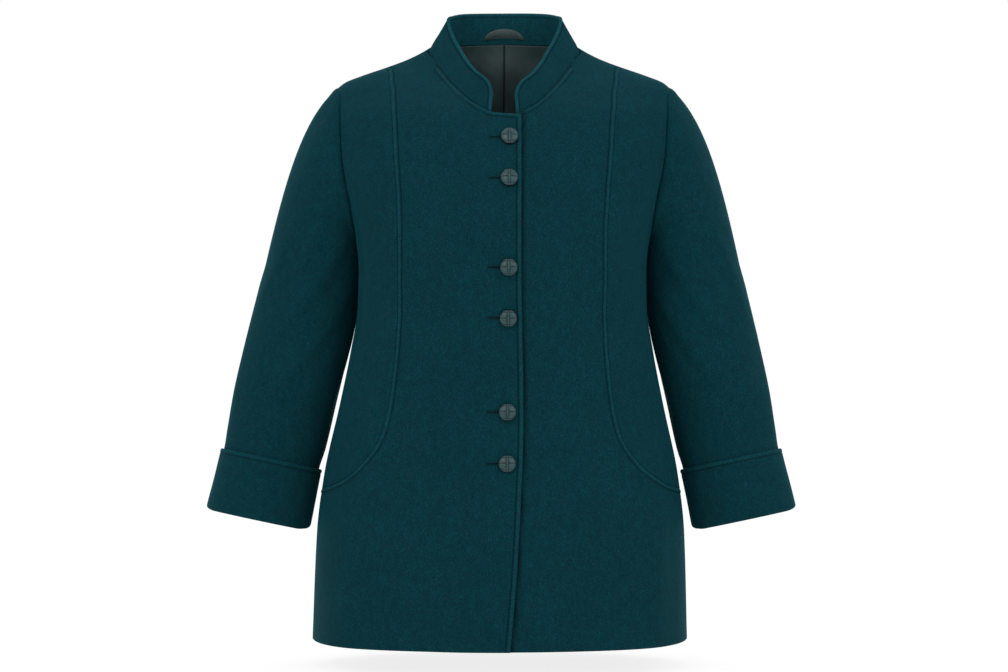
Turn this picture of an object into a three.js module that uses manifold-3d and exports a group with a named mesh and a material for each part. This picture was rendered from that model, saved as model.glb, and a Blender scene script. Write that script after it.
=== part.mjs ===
// Women's wool overcoat with a stand collar, princess seams that curve out to the hips, set-in
// sleeves with turned-up cuffs and six shank buttons in three pairs. It keeps its worn, hollow form.
// Millimetres. +Z is up, the front faces -Y and +X is the wearer's left. The origin lies in the
// middle of the neck, level with the points where the shoulder seams meet the collar.

import * as THREE from 'three';
import { mergeVertices } from 'three/addons/utils/BufferGeometryUtils.js';
import Module from 'manifold-3d';

const wasm = await Module();
wasm.setup();

// ---------------------------------------------------------------- driving sizes

const CLOTH = 3; // thickness of the wool cloth
const LINING = 1; // thickness of the lining
const SEAM_GAP = 0.3; // space between two pieces at a seam
const DEG = Math.PI / 180;

const HEM_Z = -757;
const SHOULDER_Z = -52.5; // shoulder point, where the sleeve's top is set in
const UNDERARM_Z = -245;
const NECK_BACK_Z = 11; // neck seam at the centre back
const UNDERLAP_EDGE_X = -20; // the lower front's edge, hidden under the lap
const LAP_LIFT = CLOTH + 1.2; // how far the upper front stands out over the lower one
const LAP_LIFT_START_X = -95;
const LAP_LIFT_END_X = -42;

// Level sections through the body. square makes a section fuller at its corners than an ellipse.
const BODY_SECTIONS = [
  { z: 12, halfWidth: 78, front: 6, back: 70, square: 0 },
  { z: 0, halfWidth: 94, front: 12, back: 74, square: 0 },
  { z: -6.5, halfWidth: 104, front: 17, back: 75.5, square: 0 },
  { z: -16.5, halfWidth: 124, front: 26, back: 78, square: 0 },
  { z: -27, halfWidth: 152, front: 35, back: 81, square: 0 },
  { z: -37, halfWidth: 181, front: 45, back: 84.5, square: 0 },
  { z: -47, halfWidth: 205, front: 55, back: 88, square: 0.003 },
  { z: -60, halfWidth: 217, front: 70, back: 92.5, square: 0.008 },
  { z: -92, halfWidth: 222, front: 100, back: 103, square: 0.018 },
  { z: -130, halfWidth: 220, front: 119, back: 111, square: 0.025 },
  { z: -165, halfWidth: 213, front: 130, back: 116, square: 0.03 },
  { z: -205, halfWidth: 200, front: 139, back: 117.5, square: 0.03 },
  { z: -245, halfWidth: 188, front: 144, back: 115, square: 0.03 },
  { z: -285, halfWidth: 184, front: 145, back: 111, square: 0.03 },
  { z: -330, halfWidth: 184.5, front: 141, back: 108, square: 0.03 },
  { z: -388, halfWidth: 193, front: 135, back: 109, square: 0.03 },
  { z: -456, halfWidth: 206.5, front: 133.5, back: 113, square: 0.03 },
  { z: -547, halfWidth: 226, front: 139, back: 121, square: 0.028 },
  { z: -620, halfWidth: 234.5, front: 144, back: 127, square: 0.026 },
  { z: HEM_Z, halfWidth: 239, front: 151, back: 133, square: 0.025 },
];

// Outline of the neck seam, seen from the front, from the shoulder to the centre.
const NECKLINE = [
  { x: 94, z: 0 },
  { x: 89, z: -20 },
  { x: 72, z: -46 },
  { x: 55, z: -67 },
  { x: 37, z: -82.5 },
  { x: 15.5, z: -94 },
];
const LAP_TOP_Z = -97; // top corner of the lap edge

// The upper front's closing edge, seen from the front. It hangs back a little toward the hem.
const LAP_EDGE = [
  { x: 22, z: LAP_TOP_Z },
  { x: 23, z: -290 },
  { x: 26.5, z: -440 },
  { x: 27, z: -490 },
  { x: 25.5, z: -545 },
  { x: 21, z: -650 },
  { x: 13, z: HEM_Z },
];

// The princess seam, seen from the front, from the shoulder down to the hip.
const PRINCESS_SEAM = [
  { x: 147, z: -25.7 },
  { x: 143, z: -60 },
  { x: 139, z: -100 },
  { x: 135.5, z: -150 },
  { x: 131, z: -210 },
  { x: 129, z: -270 },
  { x: 129, z: -330 },
  { x: 132, z: -390 },
  { x: 138, z: -445 },
];

// The hip curve that carries the princess seam on, round to the side seam.
const HIP_CURVE = [
  { x: 138, z: -445 },
  { x: 145, z: -482 },
  { x: 153, z: -502 },
  { x: 169, z: -525 },
  { x: 190, z: -545 },
  { x: 212, z: -557 },
  { x: 227, z: -563 },
];
const HIP_END_Z = -566; // where the hip curve meets the side seam

// Sections across a sleeve's axis, from the upper arm to the wrist. x, y and z are the centre.
const SLEEVE_SECTIONS = [
  { x: 244.5, y: 26, z: -292, halfWidth: 62.5, halfDepth: 66 },
  { x: 250.5, y: 27, z: -324, halfWidth: 65.5, halfDepth: 66 },
  { x: 264.5, y: 27, z: -388, halfWidth: 66.5, halfDepth: 63 },
  { x: 279.5, y: 25, z: -452, halfWidth: 66, halfDepth: 60 },
  { x: 289.5, y: 20, z: -503, halfWidth: 64.5, halfDepth: 56 },
  { x: 295, y: 16, z: -527, halfWidth: 62.5, halfDepth: 54 },
  { x: 310.5, y: 4, z: -601, halfWidth: 64, halfDepth: 55 },
];
const ARMHOLE_DEPTH = 54; // half the armhole's width, seen from the side
const ARMHOLE_TAPER = 0.12; // makes the armhole narrower above its middle
const CUFF_CLOTH = 3.4;
const CUFF_GAP = 0.4; // between the cuff and the sleeve inside it
const CUFF_OVERHANG = 3; // the cuff reaches this far past the sleeve's end

const COLLAR_CLOTH = 4.4;
const COLLAR_SEAT = 0.45; // the collar's foot stands this far over the neck seam
const COLLAR_CORNER = 18; // radius of the collar's front corners

const BUTTON_RADIUS = 11;
const BUTTON_X = 7.5;
const BUTTON_HEIGHTS = [-126, -177, -286, -347.5, -463.5, -527];
const SHANK_RADIUS = 2.2;
const BUTTONHOLE_LENGTH = 25;
const BUTTONHOLE_SLIT = 1.4;
const BUTTONHOLE_EYE = 3.2;

// ---------------------------------------------------------------- looks

const looks = {
  wool: { color: 0x0c3b41, roughness: 0.95, metalness: 0 },
  woolTurned: { color: 0x0e4046, roughness: 0.95, metalness: 0 },
  satin: { color: 0x343b39, roughness: 0.5, metalness: 0 },
  button: { color: 0x3a4446, roughness: 0.45, metalness: 0 },
};

// ---------------------------------------------------------------- curves and tables

function smoothstep(from, to, value) {
  return THREE.MathUtils.smoothstep(value, from, to);
}

// Reads a column of a table at the place key = at, with a smooth curve through the rows.
function readTable(table, key, column, at) {
  const last = table.length - 1;
  const falling = table[last][key] < table[0][key];
  const place = (row) => (falling ? -table[row][key] : table[row][key]);
  const wanted = THREE.MathUtils.clamp(falling ? -at : at, place(0), place(last));
  let row = 0;
  while (row < last - 1 && place(row + 1) < wanted) row += 1;
  const rise = (r) => (table[r + 1][column] - table[r][column]) / (place(r + 1) - place(r));
  const slope = (r) => {
    if (r === 0) return rise(0);
    if (r === last) return rise(last - 1);
    const before = rise(r - 1);
    const after = rise(r);
    if (before * after <= 0) return 0;
    return (2 * before * after) / (before + after);
  };
  const step = place(row + 1) - place(row);
  const t = (wanted - place(row)) / step;
  const t2 = t * t;
  const t3 = t2 * t;
  return (
    (2 * t3 - 3 * t2 + 1) * table[row][column] +
    (t3 - 2 * t2 + t) * step * slope(row) +
    (-2 * t3 + 3 * t2) * table[row + 1][column] +
    (t3 - t2) * step * slope(row + 1)
  );
}

// A smooth curve through points of a front view table, mirrored for the right of the wearer.
function frontCurve(table, side) {
  return new THREE.CatmullRomCurve3(
    table.map((row) => new THREE.Vector3(side * row.x, 0, row.z)),
    false,
    'centripetal',
  );
}

// ---------------------------------------------------------------- the body's surface

const FLUTES = 7; // waves round the hem
const FLUTE_START_Z = -360;
const FLUTE_FRONT = 0.7; // depth at the centre front
const FLUTE_BACK = 3; // depth added at the centre back
const FLUTE_DRIFT = 0.5; // moves the waves off an even spacing

// Soft flutes that open from the waist to the hem, deeper at the back.
function flutes(angle, z) {
  const opening = smoothstep(-FLUTE_START_Z, -HEM_Z, -z);
  const backness = (1 - Math.cos(angle)) / 2;
  const depth = FLUTE_FRONT + FLUTE_BACK * backness * backness;
  return opening * depth * Math.cos(FLUTES * angle + FLUTE_DRIFT * Math.sin(angle));
}

// A point of the cloth's outer surface. angle 0 is the centre front, 90 degrees the wearer's left.
function bodyPoint(angle, z, lift = 0) {
  const halfWidth = readTable(BODY_SECTIONS, 'z', 'halfWidth', z);
  const front = readTable(BODY_SECTIONS, 'z', 'front', z);
  const back = readTable(BODY_SECTIONS, 'z', 'back', z);
  const square = readTable(BODY_SECTIONS, 'z', 'square', z);
  const across = (Math.sin(angle) + square * Math.sin(3 * angle)) / (1 - square);
  const along = (Math.cos(angle) - square * Math.cos(3 * angle)) / (1 - square);
  const depth = along > 0 ? front : back;
  const out = new THREE.Vector3(across / halfWidth, -along / depth, 0).normalize();
  const point = new THREE.Vector3(across * halfWidth, -along * depth, z);
  point.addScaledVector(out, flutes(angle, z));
  if (lift) point.addScaledVector(bodyNormal(angle, z), lift);
  return point;
}

function bodyNormal(angle, z) {
  const turn = 0.004;
  const rise = 0.5;
  const round = bodyPoint(angle + turn, z).sub(bodyPoint(angle - turn, z));
  const up = bodyPoint(angle, z + rise).sub(bodyPoint(angle, z - rise));
  return round.cross(up).normalize();
}

// The angle at which the front of the body has the front view place x at the height z.
function frontAngle(x, z) {
  const halfWidth = readTable(BODY_SECTIONS, 'z', 'halfWidth', z);
  const square = readTable(BODY_SECTIONS, 'z', 'square', z);
  const wanted = THREE.MathUtils.clamp(x / halfWidth, -1, 1) * (1 - square);
  let angle = Math.asin(THREE.MathUtils.clamp(wanted, -1, 1));
  for (let pass = 0; pass < 12; pass += 1) {
    const miss = Math.sin(angle) + square * Math.sin(3 * angle) - wanted;
    const slope = Math.max(0.05, Math.cos(angle) + 3 * square * Math.cos(3 * angle));
    angle = THREE.MathUtils.clamp(angle - miss / slope, -Math.PI / 2, Math.PI / 2);
  }
  return angle;
}

// A place on the body as (angle, height), from a front view place.
function onFront(x, z) {
  return new THREE.Vector2(frontAngle(x, z), z);
}

// A place on the armhole as (angle, height). turn 0 is its top, 90 degrees its front, 180 its base.
function onArmhole(turn, side) {
  const middle = (SHOULDER_Z + UNDERARM_Z) / 2;
  const halfHeight = (SHOULDER_Z - UNDERARM_Z) / 2;
  const z = middle + halfHeight * Math.cos(turn);
  const forward = ARMHOLE_DEPTH * Math.sin(turn) * (1 - ARMHOLE_TAPER * Math.cos(turn));
  const depth = readTable(BODY_SECTIONS, 'z', forward > 0 ? 'front' : 'back', z);
  const square = readTable(BODY_SECTIONS, 'z', 'square', z);
  const wanted = (forward / depth) * (1 - square);
  let angle = Math.acos(wanted);
  for (let pass = 0; pass < 12; pass += 1) {
    const miss = Math.cos(angle) - square * Math.cos(3 * angle) - wanted;
    const slope = Math.min(-0.05, -Math.sin(angle) + 3 * square * Math.sin(3 * angle));
    angle -= miss / slope;
  }
  return new THREE.Vector2(side * angle, z);
}

// ---------------------------------------------------------------- sheets and walls

// Makes a sheet of triangles from blocks of rows of points. Points that coincide become one, so
// blocks join along a row that they share. A ring's rows close on themselves.
function sheetOf(blocks, ring = false) {
  const points = [];
  const known = new Map();
  const numberOf = (point) => {
    const key = [point.x, point.y, point.z].map((value) => value.toFixed(4)).join(' ');
    if (!known.has(key)) {
      known.set(key, points.length);
      points.push(point.clone());
    }
    return known.get(key);
  };
  const numbers = blocks.map((rows) => rows.map((row) => row.map(numberOf)));
  const faces = [];
  for (const block of numbers) {
    const columns = block[0].length;
    for (let row = 0; row < block.length - 1; row += 1) {
      for (let column = 0; column < (ring ? columns : columns - 1); column += 1) {
        const next = (column + 1) % columns;
        faces.push([block[row][column], block[row + 1][column], block[row + 1][next]]);
        faces.push([block[row][column], block[row + 1][next], block[row][next]]);
      }
    }
  }
  return { points, faces, numbers };
}

// The edges that only one face has, as ordered pairs.
function borderOf(faces) {
  const open = new Map();
  for (const face of faces) {
    for (let i = 0; i < 3; i += 1) {
      const from = face[i];
      const to = face[(i + 1) % 3];
      if (!open.delete(`${to} ${from}`)) open.set(`${from} ${to}`, [from, to]);
    }
  }
  return [...open.values()];
}

// Draws a sheet's border in along the surface, so that two pieces stay apart at their seam.
function drawIn(sheet, distance) {
  const sums = new Map();
  const middle = new Map();
  for (const face of sheet.faces) {
    const centre = face.reduce((sum, i) => sum.add(sheet.points[i]), new THREE.Vector3()).divideScalar(3);
    for (const i of face) {
      const sum = middle.get(i) ?? new THREE.Vector3();
      middle.set(i, sum.add(centre).sub(sheet.points[i]));
    }
  }
  for (const [from, to] of borderOf(sheet.faces)) {
    const along = sheet.points[to].clone().sub(sheet.points[from]).normalize();
    for (const i of [from, to]) sums.set(i, [...(sums.get(i) ?? []), along]);
  }
  const moves = [];
  for (const [i, edges] of sums) {
    const along = edges.reduce((sum, edge) => sum.add(edge), new THREE.Vector3()).normalize();
    const inward = middle.get(i).clone();
    inward.addScaledVector(along, -inward.dot(along)).normalize();
    moves.push([i, inward.multiplyScalar(distance)]);
  }
  for (const [i, move] of moves) sheet.points[i].add(move);
}

// Gives a sheet a thickness. inner[i] is the point behind sheet.points[i].
function wallGeometry(sheet, inner) {
  const count = sheet.points.length;
  const positions = [...sheet.points, ...inner].flatMap((point) => [point.x, point.y, point.z]);
  const faces = sheet.faces.flatMap(([a, b, c]) => [a, b, c, a + count, c + count, b + count]);
  for (const [from, to] of borderOf(sheet.faces)) {
    faces.push(to, from, from + count, to, from + count, to + count);
  }
  const geometry = new THREE.BufferGeometry();
  geometry.setAttribute('position', new THREE.Float32BufferAttribute(positions, 3));
  geometry.setIndex(faces);
  return faceOutward(geometry);
}

function faceOutward(geometry) {
  const position = geometry.getAttribute('position');
  const index = geometry.getIndex();
  const [a, b, c] = [new THREE.Vector3(), new THREE.Vector3(), new THREE.Vector3()];
  let volume = 0;
  for (let i = 0; i < index.count; i += 3) {
    a.fromBufferAttribute(position, index.getX(i));
    b.fromBufferAttribute(position, index.getX(i + 1));
    c.fromBufferAttribute(position, index.getX(i + 2));
    volume += a.dot(b.cross(c));
  }
  if (volume < 0) {
    for (let i = 0; i < index.count; i += 3) {
      const second = index.getX(i + 1);
      index.setX(i + 1, index.getX(i + 2));
      index.setX(i + 2, second);
    }
  }
  geometry.computeVertexNormals();
  return geometry;
}

// The mean normal at each point of a sheet.
function sheetNormals(sheet) {
  const normals = sheet.points.map(() => new THREE.Vector3());
  for (const [a, b, c] of sheet.faces) {
    const one = sheet.points[b].clone().sub(sheet.points[a]);
    const other = sheet.points[c].clone().sub(sheet.points[a]);
    const across = one.cross(other);
    for (const i of [a, b, c]) normals[i].add(across);
  }
  return normals.map((normal) => normal.normalize());
}

// Lays blocks of (angle, height) places on the body and makes a wall of cloth of them.
function panelGeometry(blocks, { lift = () => 0, cloth = CLOTH, gap = SEAM_GAP / 2 } = {}) {
  const lay = (place) => bodyPoint(place.x, place.y, lift(bodyPoint(place.x, place.y)));
  const sheet = sheetOf(blocks.map((rows) => rows.map((row) => row.map(lay))));
  const normals = [];
  blocks.forEach((rows, b) =>
    rows.forEach((row, r) =>
      row.forEach((place, c) => {
        normals[sheet.numbers[b][r][c]] = bodyNormal(place.x, place.y);
      }),
    ),
  );
  drawIn(sheet, gap);
  const inner = sheet.points.map((point, i) => point.clone().addScaledVector(normals[i], -cloth));
  return wallGeometry(sheet, inner);
}

function mesh(name, geometry, look) {
  const made = new THREE.Mesh(geometry, new THREE.MeshStandardMaterial(look));
  made.name = name;
  return made;
}

// Evenly spread values from one number to another, both ends included.
function spread(from, to, steps) {
  return Array.from({ length: steps + 1 }, (_, i) => from + ((to - from) * i) / steps);
}

// ---------------------------------------------------------------- seam lines as (angle, height)

const SIDE_TURN = 140 * DEG; // the armhole's side ends and its base begins here
const SIDE_TURN_STEPS = 9;
const BASE_STEPS = 3;
const WAIST_STEPS = 7; // from the armhole's base to the start of the hip curve
const SKIRT_STEPS = 8; // from there to the hem
const SIDE_FRONT_COLUMNS = 5;
const HEM_SPLIT_ANGLE = 44 * DEG; // where the princess seam would reach the hem, carried straight on
const HIP_STEPS = SIDE_FRONT_COLUMNS + BASE_STEPS;
const NECK_STEPS = 8; // along each half of the neck seam
const SHOULDER_CROWDING = 1.7; // brings levels closer together near the shoulder
const TURNED_ROWS = 4; // rows that still turn with the shoulder seam
const RAISED_ROWS = SIDE_TURN_STEPS + 2; // rows that still bend up to the neck
const EDGE_FALL = 300; // over this height the closing edge's rows come level with the seam's
const SHOULDER_STEPS = 2; // along a front's share of the shoulder seam
const LAP_STEPS = 2; // from the collar's end to the closing edge
const PRINCESS_TOP_Z = PRINCESS_SEAM[0].z;
const HIP_START_Z = HIP_CURVE[0].z;
const BASE_Z = onArmhole(SIDE_TURN, 1).y;

function sidePlace(side, z) {
  return new THREE.Vector2((side * Math.PI) / 2, z);
}

// Levels down the princess seam, closer together over the shoulder.
function princessLevels() {
  const chest = spread(0, 1, SIDE_TURN_STEPS).map((t) => {
    return THREE.MathUtils.lerp(PRINCESS_TOP_Z, BASE_Z, t ** SHOULDER_CROWDING);
  });
  return [...chest, ...spread(BASE_Z, HIP_START_Z, WAIST_STEPS).slice(1)];
}

function princessLine(side) {
  const below = princessLevels().slice(1);
  const seam = below.map((z) => onFront(side * readTable(PRINCESS_SEAM, 'z', 'x', z), z));
  return [sidePlace(side, PRINCESS_TOP_Z), ...seam];
}

// The hip curve from the princess seam's end to the side seam, in steps of equal length.
function hipLine(side) {
  const dense = frontCurve(HIP_CURVE, side).getSpacedPoints(60).map((point) => onFront(point.x, point.z));
  return evenly([...dense, sidePlace(side, HIP_END_Z)], HIP_STEPS);
}

// Picks places along a line of places on the body, the same distance apart.
function evenly(places, steps) {
  const points = places.map((place) => bodyPoint(place.x, place.y));
  const reached = points.reduce((sums, point, i) => {
    sums.push(i ? sums[i - 1] + point.distanceTo(points[i - 1]) : 0);
    return sums;
  }, []);
  return spread(0, reached[reached.length - 1], steps).map((distance) => {
    const after = Math.max(1, reached.findIndex((sum) => sum >= distance - 1e-9));
    const share = (distance - reached[after - 1]) / (reached[after] - reached[after - 1]);
    return places[after - 1].clone().lerp(places[after], share);
  });
}

function armholeTurns() {
  return [...spread(0, SIDE_TURN, SIDE_TURN_STEPS), ...spread(SIDE_TURN, Math.PI, BASE_STEPS).slice(1)];
}

// The armhole's front half (facing 1) or back half (facing -1), from the shoulder to its base.
function armholeLine(side, facing) {
  return armholeTurns().map((turn) => onArmhole(facing * turn, side));
}

function neckFrontLine(side) {
  return frontCurve(NECKLINE, side).getSpacedPoints(NECK_STEPS).map((point) => onFront(point.x, point.z));
}

// The neck seam round the back, from the wearer's left shoulder to the right one.
function neckBackLine() {
  return spread(0, 1, 2 * NECK_STEPS).map(
    (t) => new THREE.Vector2(Math.PI * (0.5 + t), NECK_BACK_Z * Math.sin(Math.PI * t) ** 0.8),
  );
}

// Shoulder seam and neck seam of a front, from the princess seam to the closing edge.
function frontTopLine(side, endX, endZ) {
  const shoulder = spread(PRINCESS_TOP_Z, 0, SHOULDER_STEPS).slice(0, -1).map((z) => sidePlace(side, z));
  const corner = NECKLINE[NECKLINE.length - 1];
  const start = new THREE.Vector2(side * corner.x, corner.z);
  const end = spread(0, 1, LAP_STEPS).slice(1).map((t) => {
    const place = start.clone().lerp(new THREE.Vector2(endX, endZ), t);
    return onFront(place.x, place.y);
  });
  return [...shoulder, ...neckFrontLine(side), ...end];
}

// Rows from one line of places to another with as many.
function rowsBetween(from, to, steps) {
  return spread(0, 1, steps).map((t) => from.map((place, i) => place.clone().lerp(to[i], t)));
}

// ---------------------------------------------------------------- fronts

function lapLift(point) {
  return LAP_LIFT * smoothstep(LAP_LIFT_START_X, LAP_LIFT_END_X, point.x);
}

// Two blocks of rows. Above the hip curve rows run from the princess seam to the closing edge, and
// bend up to the neck at the top. Below it they run from the side seam. edgeAt(z) is the edge's x.
function frontBlocks(side, edgeAt, topZ) {
  const top = frontTopLine(side, edgeAt(topZ), topZ);
  const seam = princessLine(side);
  const settled = seam[TURNED_ROWS].x;
  const upper = seam.map((start, row) => {
    const fall = smoothstep(-PRINCESS_TOP_Z, EDGE_FALL, -start.y);
    const endZ = start.y + (topZ - PRINCESS_TOP_Z) * (1 - fall);
    const end = onFront(edgeAt(endZ), endZ);
    const turned = row < TURNED_ROWS ? (start.x - settled) / (seam[0].x - settled) : 0;
    const raised = Math.max(0, 1 - row / RAISED_ROWS) ** 2;
    return top.map((place, column) => {
      const u = column / (top.length - 1);
      const straight = top[0].clone().lerp(top[top.length - 1], u);
      const point = start.clone().lerp(end, u);
      point.x += (place.x - straight.x) * turned;
      point.y += (place.y - straight.y) * raised;
      return point;
    });
  });
  const belt = [...hipLine(side).reverse(), ...upper[upper.length - 1].slice(1)];
  const hemSide = new THREE.Vector2((side * Math.PI) / 2, HEM_Z);
  const hemSplit = new THREE.Vector2(side * HEM_SPLIT_ANGLE, HEM_Z);
  const hemEnd = onFront(edgeAt(HEM_Z), HEM_Z);
  const hem = [
    ...spread(0, 1, HIP_STEPS).map((t) => hemSide.clone().lerp(hemSplit, t)),
    ...spread(0, 1, top.length - 1).slice(1).map((t) => hemSplit.clone().lerp(hemEnd, t)),
  ];
  const lower = rowsBetween(belt, hem, SKIRT_STEPS).map((row) => {
    const end = row[row.length - 1];
    const miss = frontAngle(edgeAt(end.y), end.y) - end.x;
    row.slice(HIP_STEPS).forEach((place, i) => place.setX(place.x + (miss * i) / (top.length - 1)));
    return row;
  });
  return [upper, lower];
}

function manifoldOf(geometry) {
  const merged = mergedBare(geometry);
  return new wasm.Manifold(
    new wasm.Mesh({
      numProp: 3,
      vertProperties: Float32Array.from(merged.getAttribute('position').array),
      triVerts: Uint32Array.from(merged.getIndex().array),
    }),
  );
}

function mergedBare(geometry) {
  geometry.deleteAttribute('normal');
  geometry.deleteAttribute('uv');
  return mergeVertices(geometry, 1e-4);
}

function geometryOf(manifold) {
  const made = manifold.getMesh();
  const geometry = new THREE.BufferGeometry();
  geometry.setAttribute('position', new THREE.Float32BufferAttribute(made.vertProperties, 3));
  geometry.setIndex(Array.from(made.triVerts));
  geometry.computeVertexNormals();
  return geometry;
}

// Where a button stands: its place on the under front, and axes with Z out of the cloth.
function buttonFrame(z) {
  const angle = frontAngle(BUTTON_X, z);
  const out = bodyNormal(angle, z);
  const up = new THREE.Vector3(0, 0, 1).addScaledVector(out, -out.z).normalize();
  const right = up.clone().cross(out).normalize();
  const frame = new THREE.Matrix4().makeBasis(right, up, out);
  return frame.setPosition(bodyPoint(angle, z));
}

// The keyhole that is cut out of the upper front: a round eye at the button and a slit beside it.
function buttonholeCutter(z) {
  const slitAngle = Math.asin(BUTTONHOLE_SLIT / 2 / BUTTONHOLE_EYE);
  const shape = new THREE.Shape();
  shape.moveTo(-BUTTONHOLE_LENGTH, -BUTTONHOLE_SLIT / 2);
  shape.absarc(0, 0, BUTTONHOLE_EYE, Math.PI + slitAngle, Math.PI * 3 - slitAngle, false);
  shape.lineTo(-BUTTONHOLE_LENGTH, BUTTONHOLE_SLIT / 2);
  const cut = { depth: 2 * LAP_LIFT, bevelEnabled: false, curveSegments: 8 };
  return new THREE.ExtrudeGeometry(shape, cut).translate(0, 0, -1).applyMatrix4(buttonFrame(z));
}

function frontRight() {
  const edgeAt = (z) => readTable(LAP_EDGE, 'z', 'x', z);
  const cloth = panelGeometry(frontBlocks(-1, edgeAt, LAP_TOP_Z), { lift: lapLift });
  const holes = BUTTON_HEIGHTS.map((z) => manifoldOf(buttonholeCutter(z)));
  return geometryOf(holes.reduce((solid, hole) => solid.subtract(hole), manifoldOf(cloth)));
}

function frontLeft() {
  return panelGeometry(frontBlocks(1, () => UNDERLAP_EDGE_X, LAP_TOP_Z - 1));
}

// ---------------------------------------------------------------- side fronts

function sideFront(side) {
  const seam = princessLine(side);
  const armhole = armholeLine(side, 1);
  const across = (row) =>
    spread(0, 1, SIDE_FRONT_COLUMNS).map((u) => seam[row].clone().lerp(armhole[row], u));
  const upper = spread(0, SIDE_TURN_STEPS, SIDE_TURN_STEPS).map(across);
  const belt = [...upper[upper.length - 1], ...armhole.slice(SIDE_TURN_STEPS + 1)];
  const hip = hipLine(side);
  const lower = rowsBetween(belt, hip, WAIST_STEPS).map((row, r) => {
    const miss = seam[SIDE_TURN_STEPS + r].clone().sub(row[0]);
    return row.map((place, c) => place.addScaledVector(miss, 1 - c / HIP_STEPS));
  });
  return panelGeometry([upper, lower]);
}

// ---------------------------------------------------------------- back and its lining

const BACK_SHOULDER_STEPS = 4;
const BACK_STEPS = 12; // from the armhole's base to the hem

// Two blocks of rows. The upper rows run from armhole to armhole, bent up to the shoulders and the
// neck at the top. Below the armholes they run from side seam to side seam.
function backBlocks() {
  const left = armholeLine(1, -1);
  const turned = (place) => new THREE.Vector2(2 * Math.PI - place.x, place.y);
  left.forEach((place) => place.setX(Math.abs(place.x)));
  const top = [
    ...spread(SHOULDER_Z, 0, BACK_SHOULDER_STEPS).slice(0, -1).map((z) => sidePlace(1, z)),
    ...neckBackLine().filter((_, i) => i % 2 === 0),
    ...spread(0, SHOULDER_Z, BACK_SHOULDER_STEPS).slice(1).map((z) => turned(sidePlace(1, z))),
  ];
  const upper = left.slice(0, SIDE_TURN_STEPS + 1).map((start, row) => {
    const keep = Math.max(0, 1 - row / (SIDE_TURN_STEPS - 1)) ** 2;
    return top.map((place, column) => {
      const u = column / (top.length - 1);
      const point = start.clone().lerp(turned(start), u);
      point.x += (place.x - THREE.MathUtils.lerp(Math.PI / 2, Math.PI * 1.5, u)) * keep;
      point.y += (place.y - SHOULDER_Z) * keep;
      return point;
    });
  });
  const base = left.slice(SIDE_TURN_STEPS + 1);
  const belt = [...base.slice().reverse(), ...upper[upper.length - 1], ...base.map(turned)];
  const hem = belt.map((_, i) => new THREE.Vector2(Math.PI * (0.5 + i / (belt.length - 1)), HEM_Z));
  return [upper, rowsBetween(belt, hem, BACK_STEPS)];
}

// Half of the back, from the side seam to the centre back seam.
function backHalf(side) {
  const halves = backBlocks().map((rows) => {
    const middle = (rows[0].length - 1) / 2;
    return rows.map((row) => (side > 0 ? row.slice(0, middle + 1) : row.slice(middle)));
  });
  return panelGeometry(halves);
}

function backLining() {
  const [upper, lower] = backBlocks();
  return panelGeometry([upper, lower.slice(0, -1)], { lift: () => -(CLOTH + 0.6), cloth: LINING, gap: 1.5 });
}

// ---------------------------------------------------------------- sleeves and cuffs

function sleeveCentre(z, side) {
  const x = side * readTable(SLEEVE_SECTIONS, 'z', 'x', z);
  return new THREE.Vector3(x, readTable(SLEEVE_SECTIONS, 'z', 'y', z), z);
}

const UPPER_ARM_Z = SLEEVE_SECTIONS[0].z;
const WRIST_Z = SLEEVE_SECTIONS[SLEEVE_SECTIONS.length - 1].z;

function sleeveAxis(side) {
  return sleeveCentre(WRIST_Z, side).sub(sleeveCentre(UPPER_ARM_Z, side)).normalize();
}

// A ring point of the sleeve below the upper arm. turn 0 is the outside, 90 degrees the front.
function sleeveRing(z, turn, side, lift = 0) {
  const axis = sleeveAxis(side);
  const outward = new THREE.Vector3(side, 0, 0).addScaledVector(axis, -side * axis.x).normalize();
  const forward = axis.clone().cross(outward).multiplyScalar(side).normalize();
  const halfWidth = readTable(SLEEVE_SECTIONS, 'z', 'halfWidth', z) + lift;
  const halfDepth = readTable(SLEEVE_SECTIONS, 'z', 'halfDepth', z) + lift;
  return sleeveCentre(z, side)
    .addScaledVector(outward, halfWidth * Math.cos(turn))
    .addScaledVector(forward, halfDepth * Math.sin(turn));
}

// The sleeve leaves the armhole outward, sloping down at the top. Handles are lengths of the curve's
// tangents at its two ends, over the top of the shoulder and under the arm.
const CAP_LEAVE_TOP = new THREE.Vector3(0.8, 0, -0.6);
const CAP_LEAVE_BASE = new THREE.Vector3(1, 0, 0);
const CAP_LEAVE_FORWARD = 0.4;
const CAP_FIRST_HANDLE = { top: 54, base: 9 };
const CAP_LAST_HANDLE = { top: 118, base: 28 };

// A line of the sleeve's cap, from the armhole seam to the upper arm.
function sleeveCapLine(turn, side) {
  const place = onArmhole(turn, side);
  const start = bodyPoint(place.x, place.y);
  const low = (1 - Math.cos(turn)) / 2;
  const leave = CAP_LEAVE_TOP.clone().lerp(CAP_LEAVE_BASE, low);
  leave.setX(side * leave.x).setY(-CAP_LEAVE_FORWARD * Math.sin(turn)).normalize();
  const end = sleeveRing(UPPER_ARM_Z, turn, side);
  const axis = sleeveAxis(side);
  const firstHandle = THREE.MathUtils.lerp(CAP_FIRST_HANDLE.top, CAP_FIRST_HANDLE.base, low);
  const lastHandle = THREE.MathUtils.lerp(CAP_LAST_HANDLE.top, CAP_LAST_HANDLE.base, low);
  return new THREE.CubicBezierCurve3(
    start,
    start.clone().addScaledVector(leave, firstHandle),
    end.clone().addScaledVector(axis, -lastHandle),
    end,
  );
}

const CUFF_HEIGHT = 73;
const CUFF_TOP_Z = WRIST_Z + CUFF_HEIGHT;
const CUFF_LEVELS = spread(CUFF_TOP_Z, WRIST_Z, 3);
const UPPER_ARM_STEPS = 5;
const SLEEVE_CAP_ROWS = 7;

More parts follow.
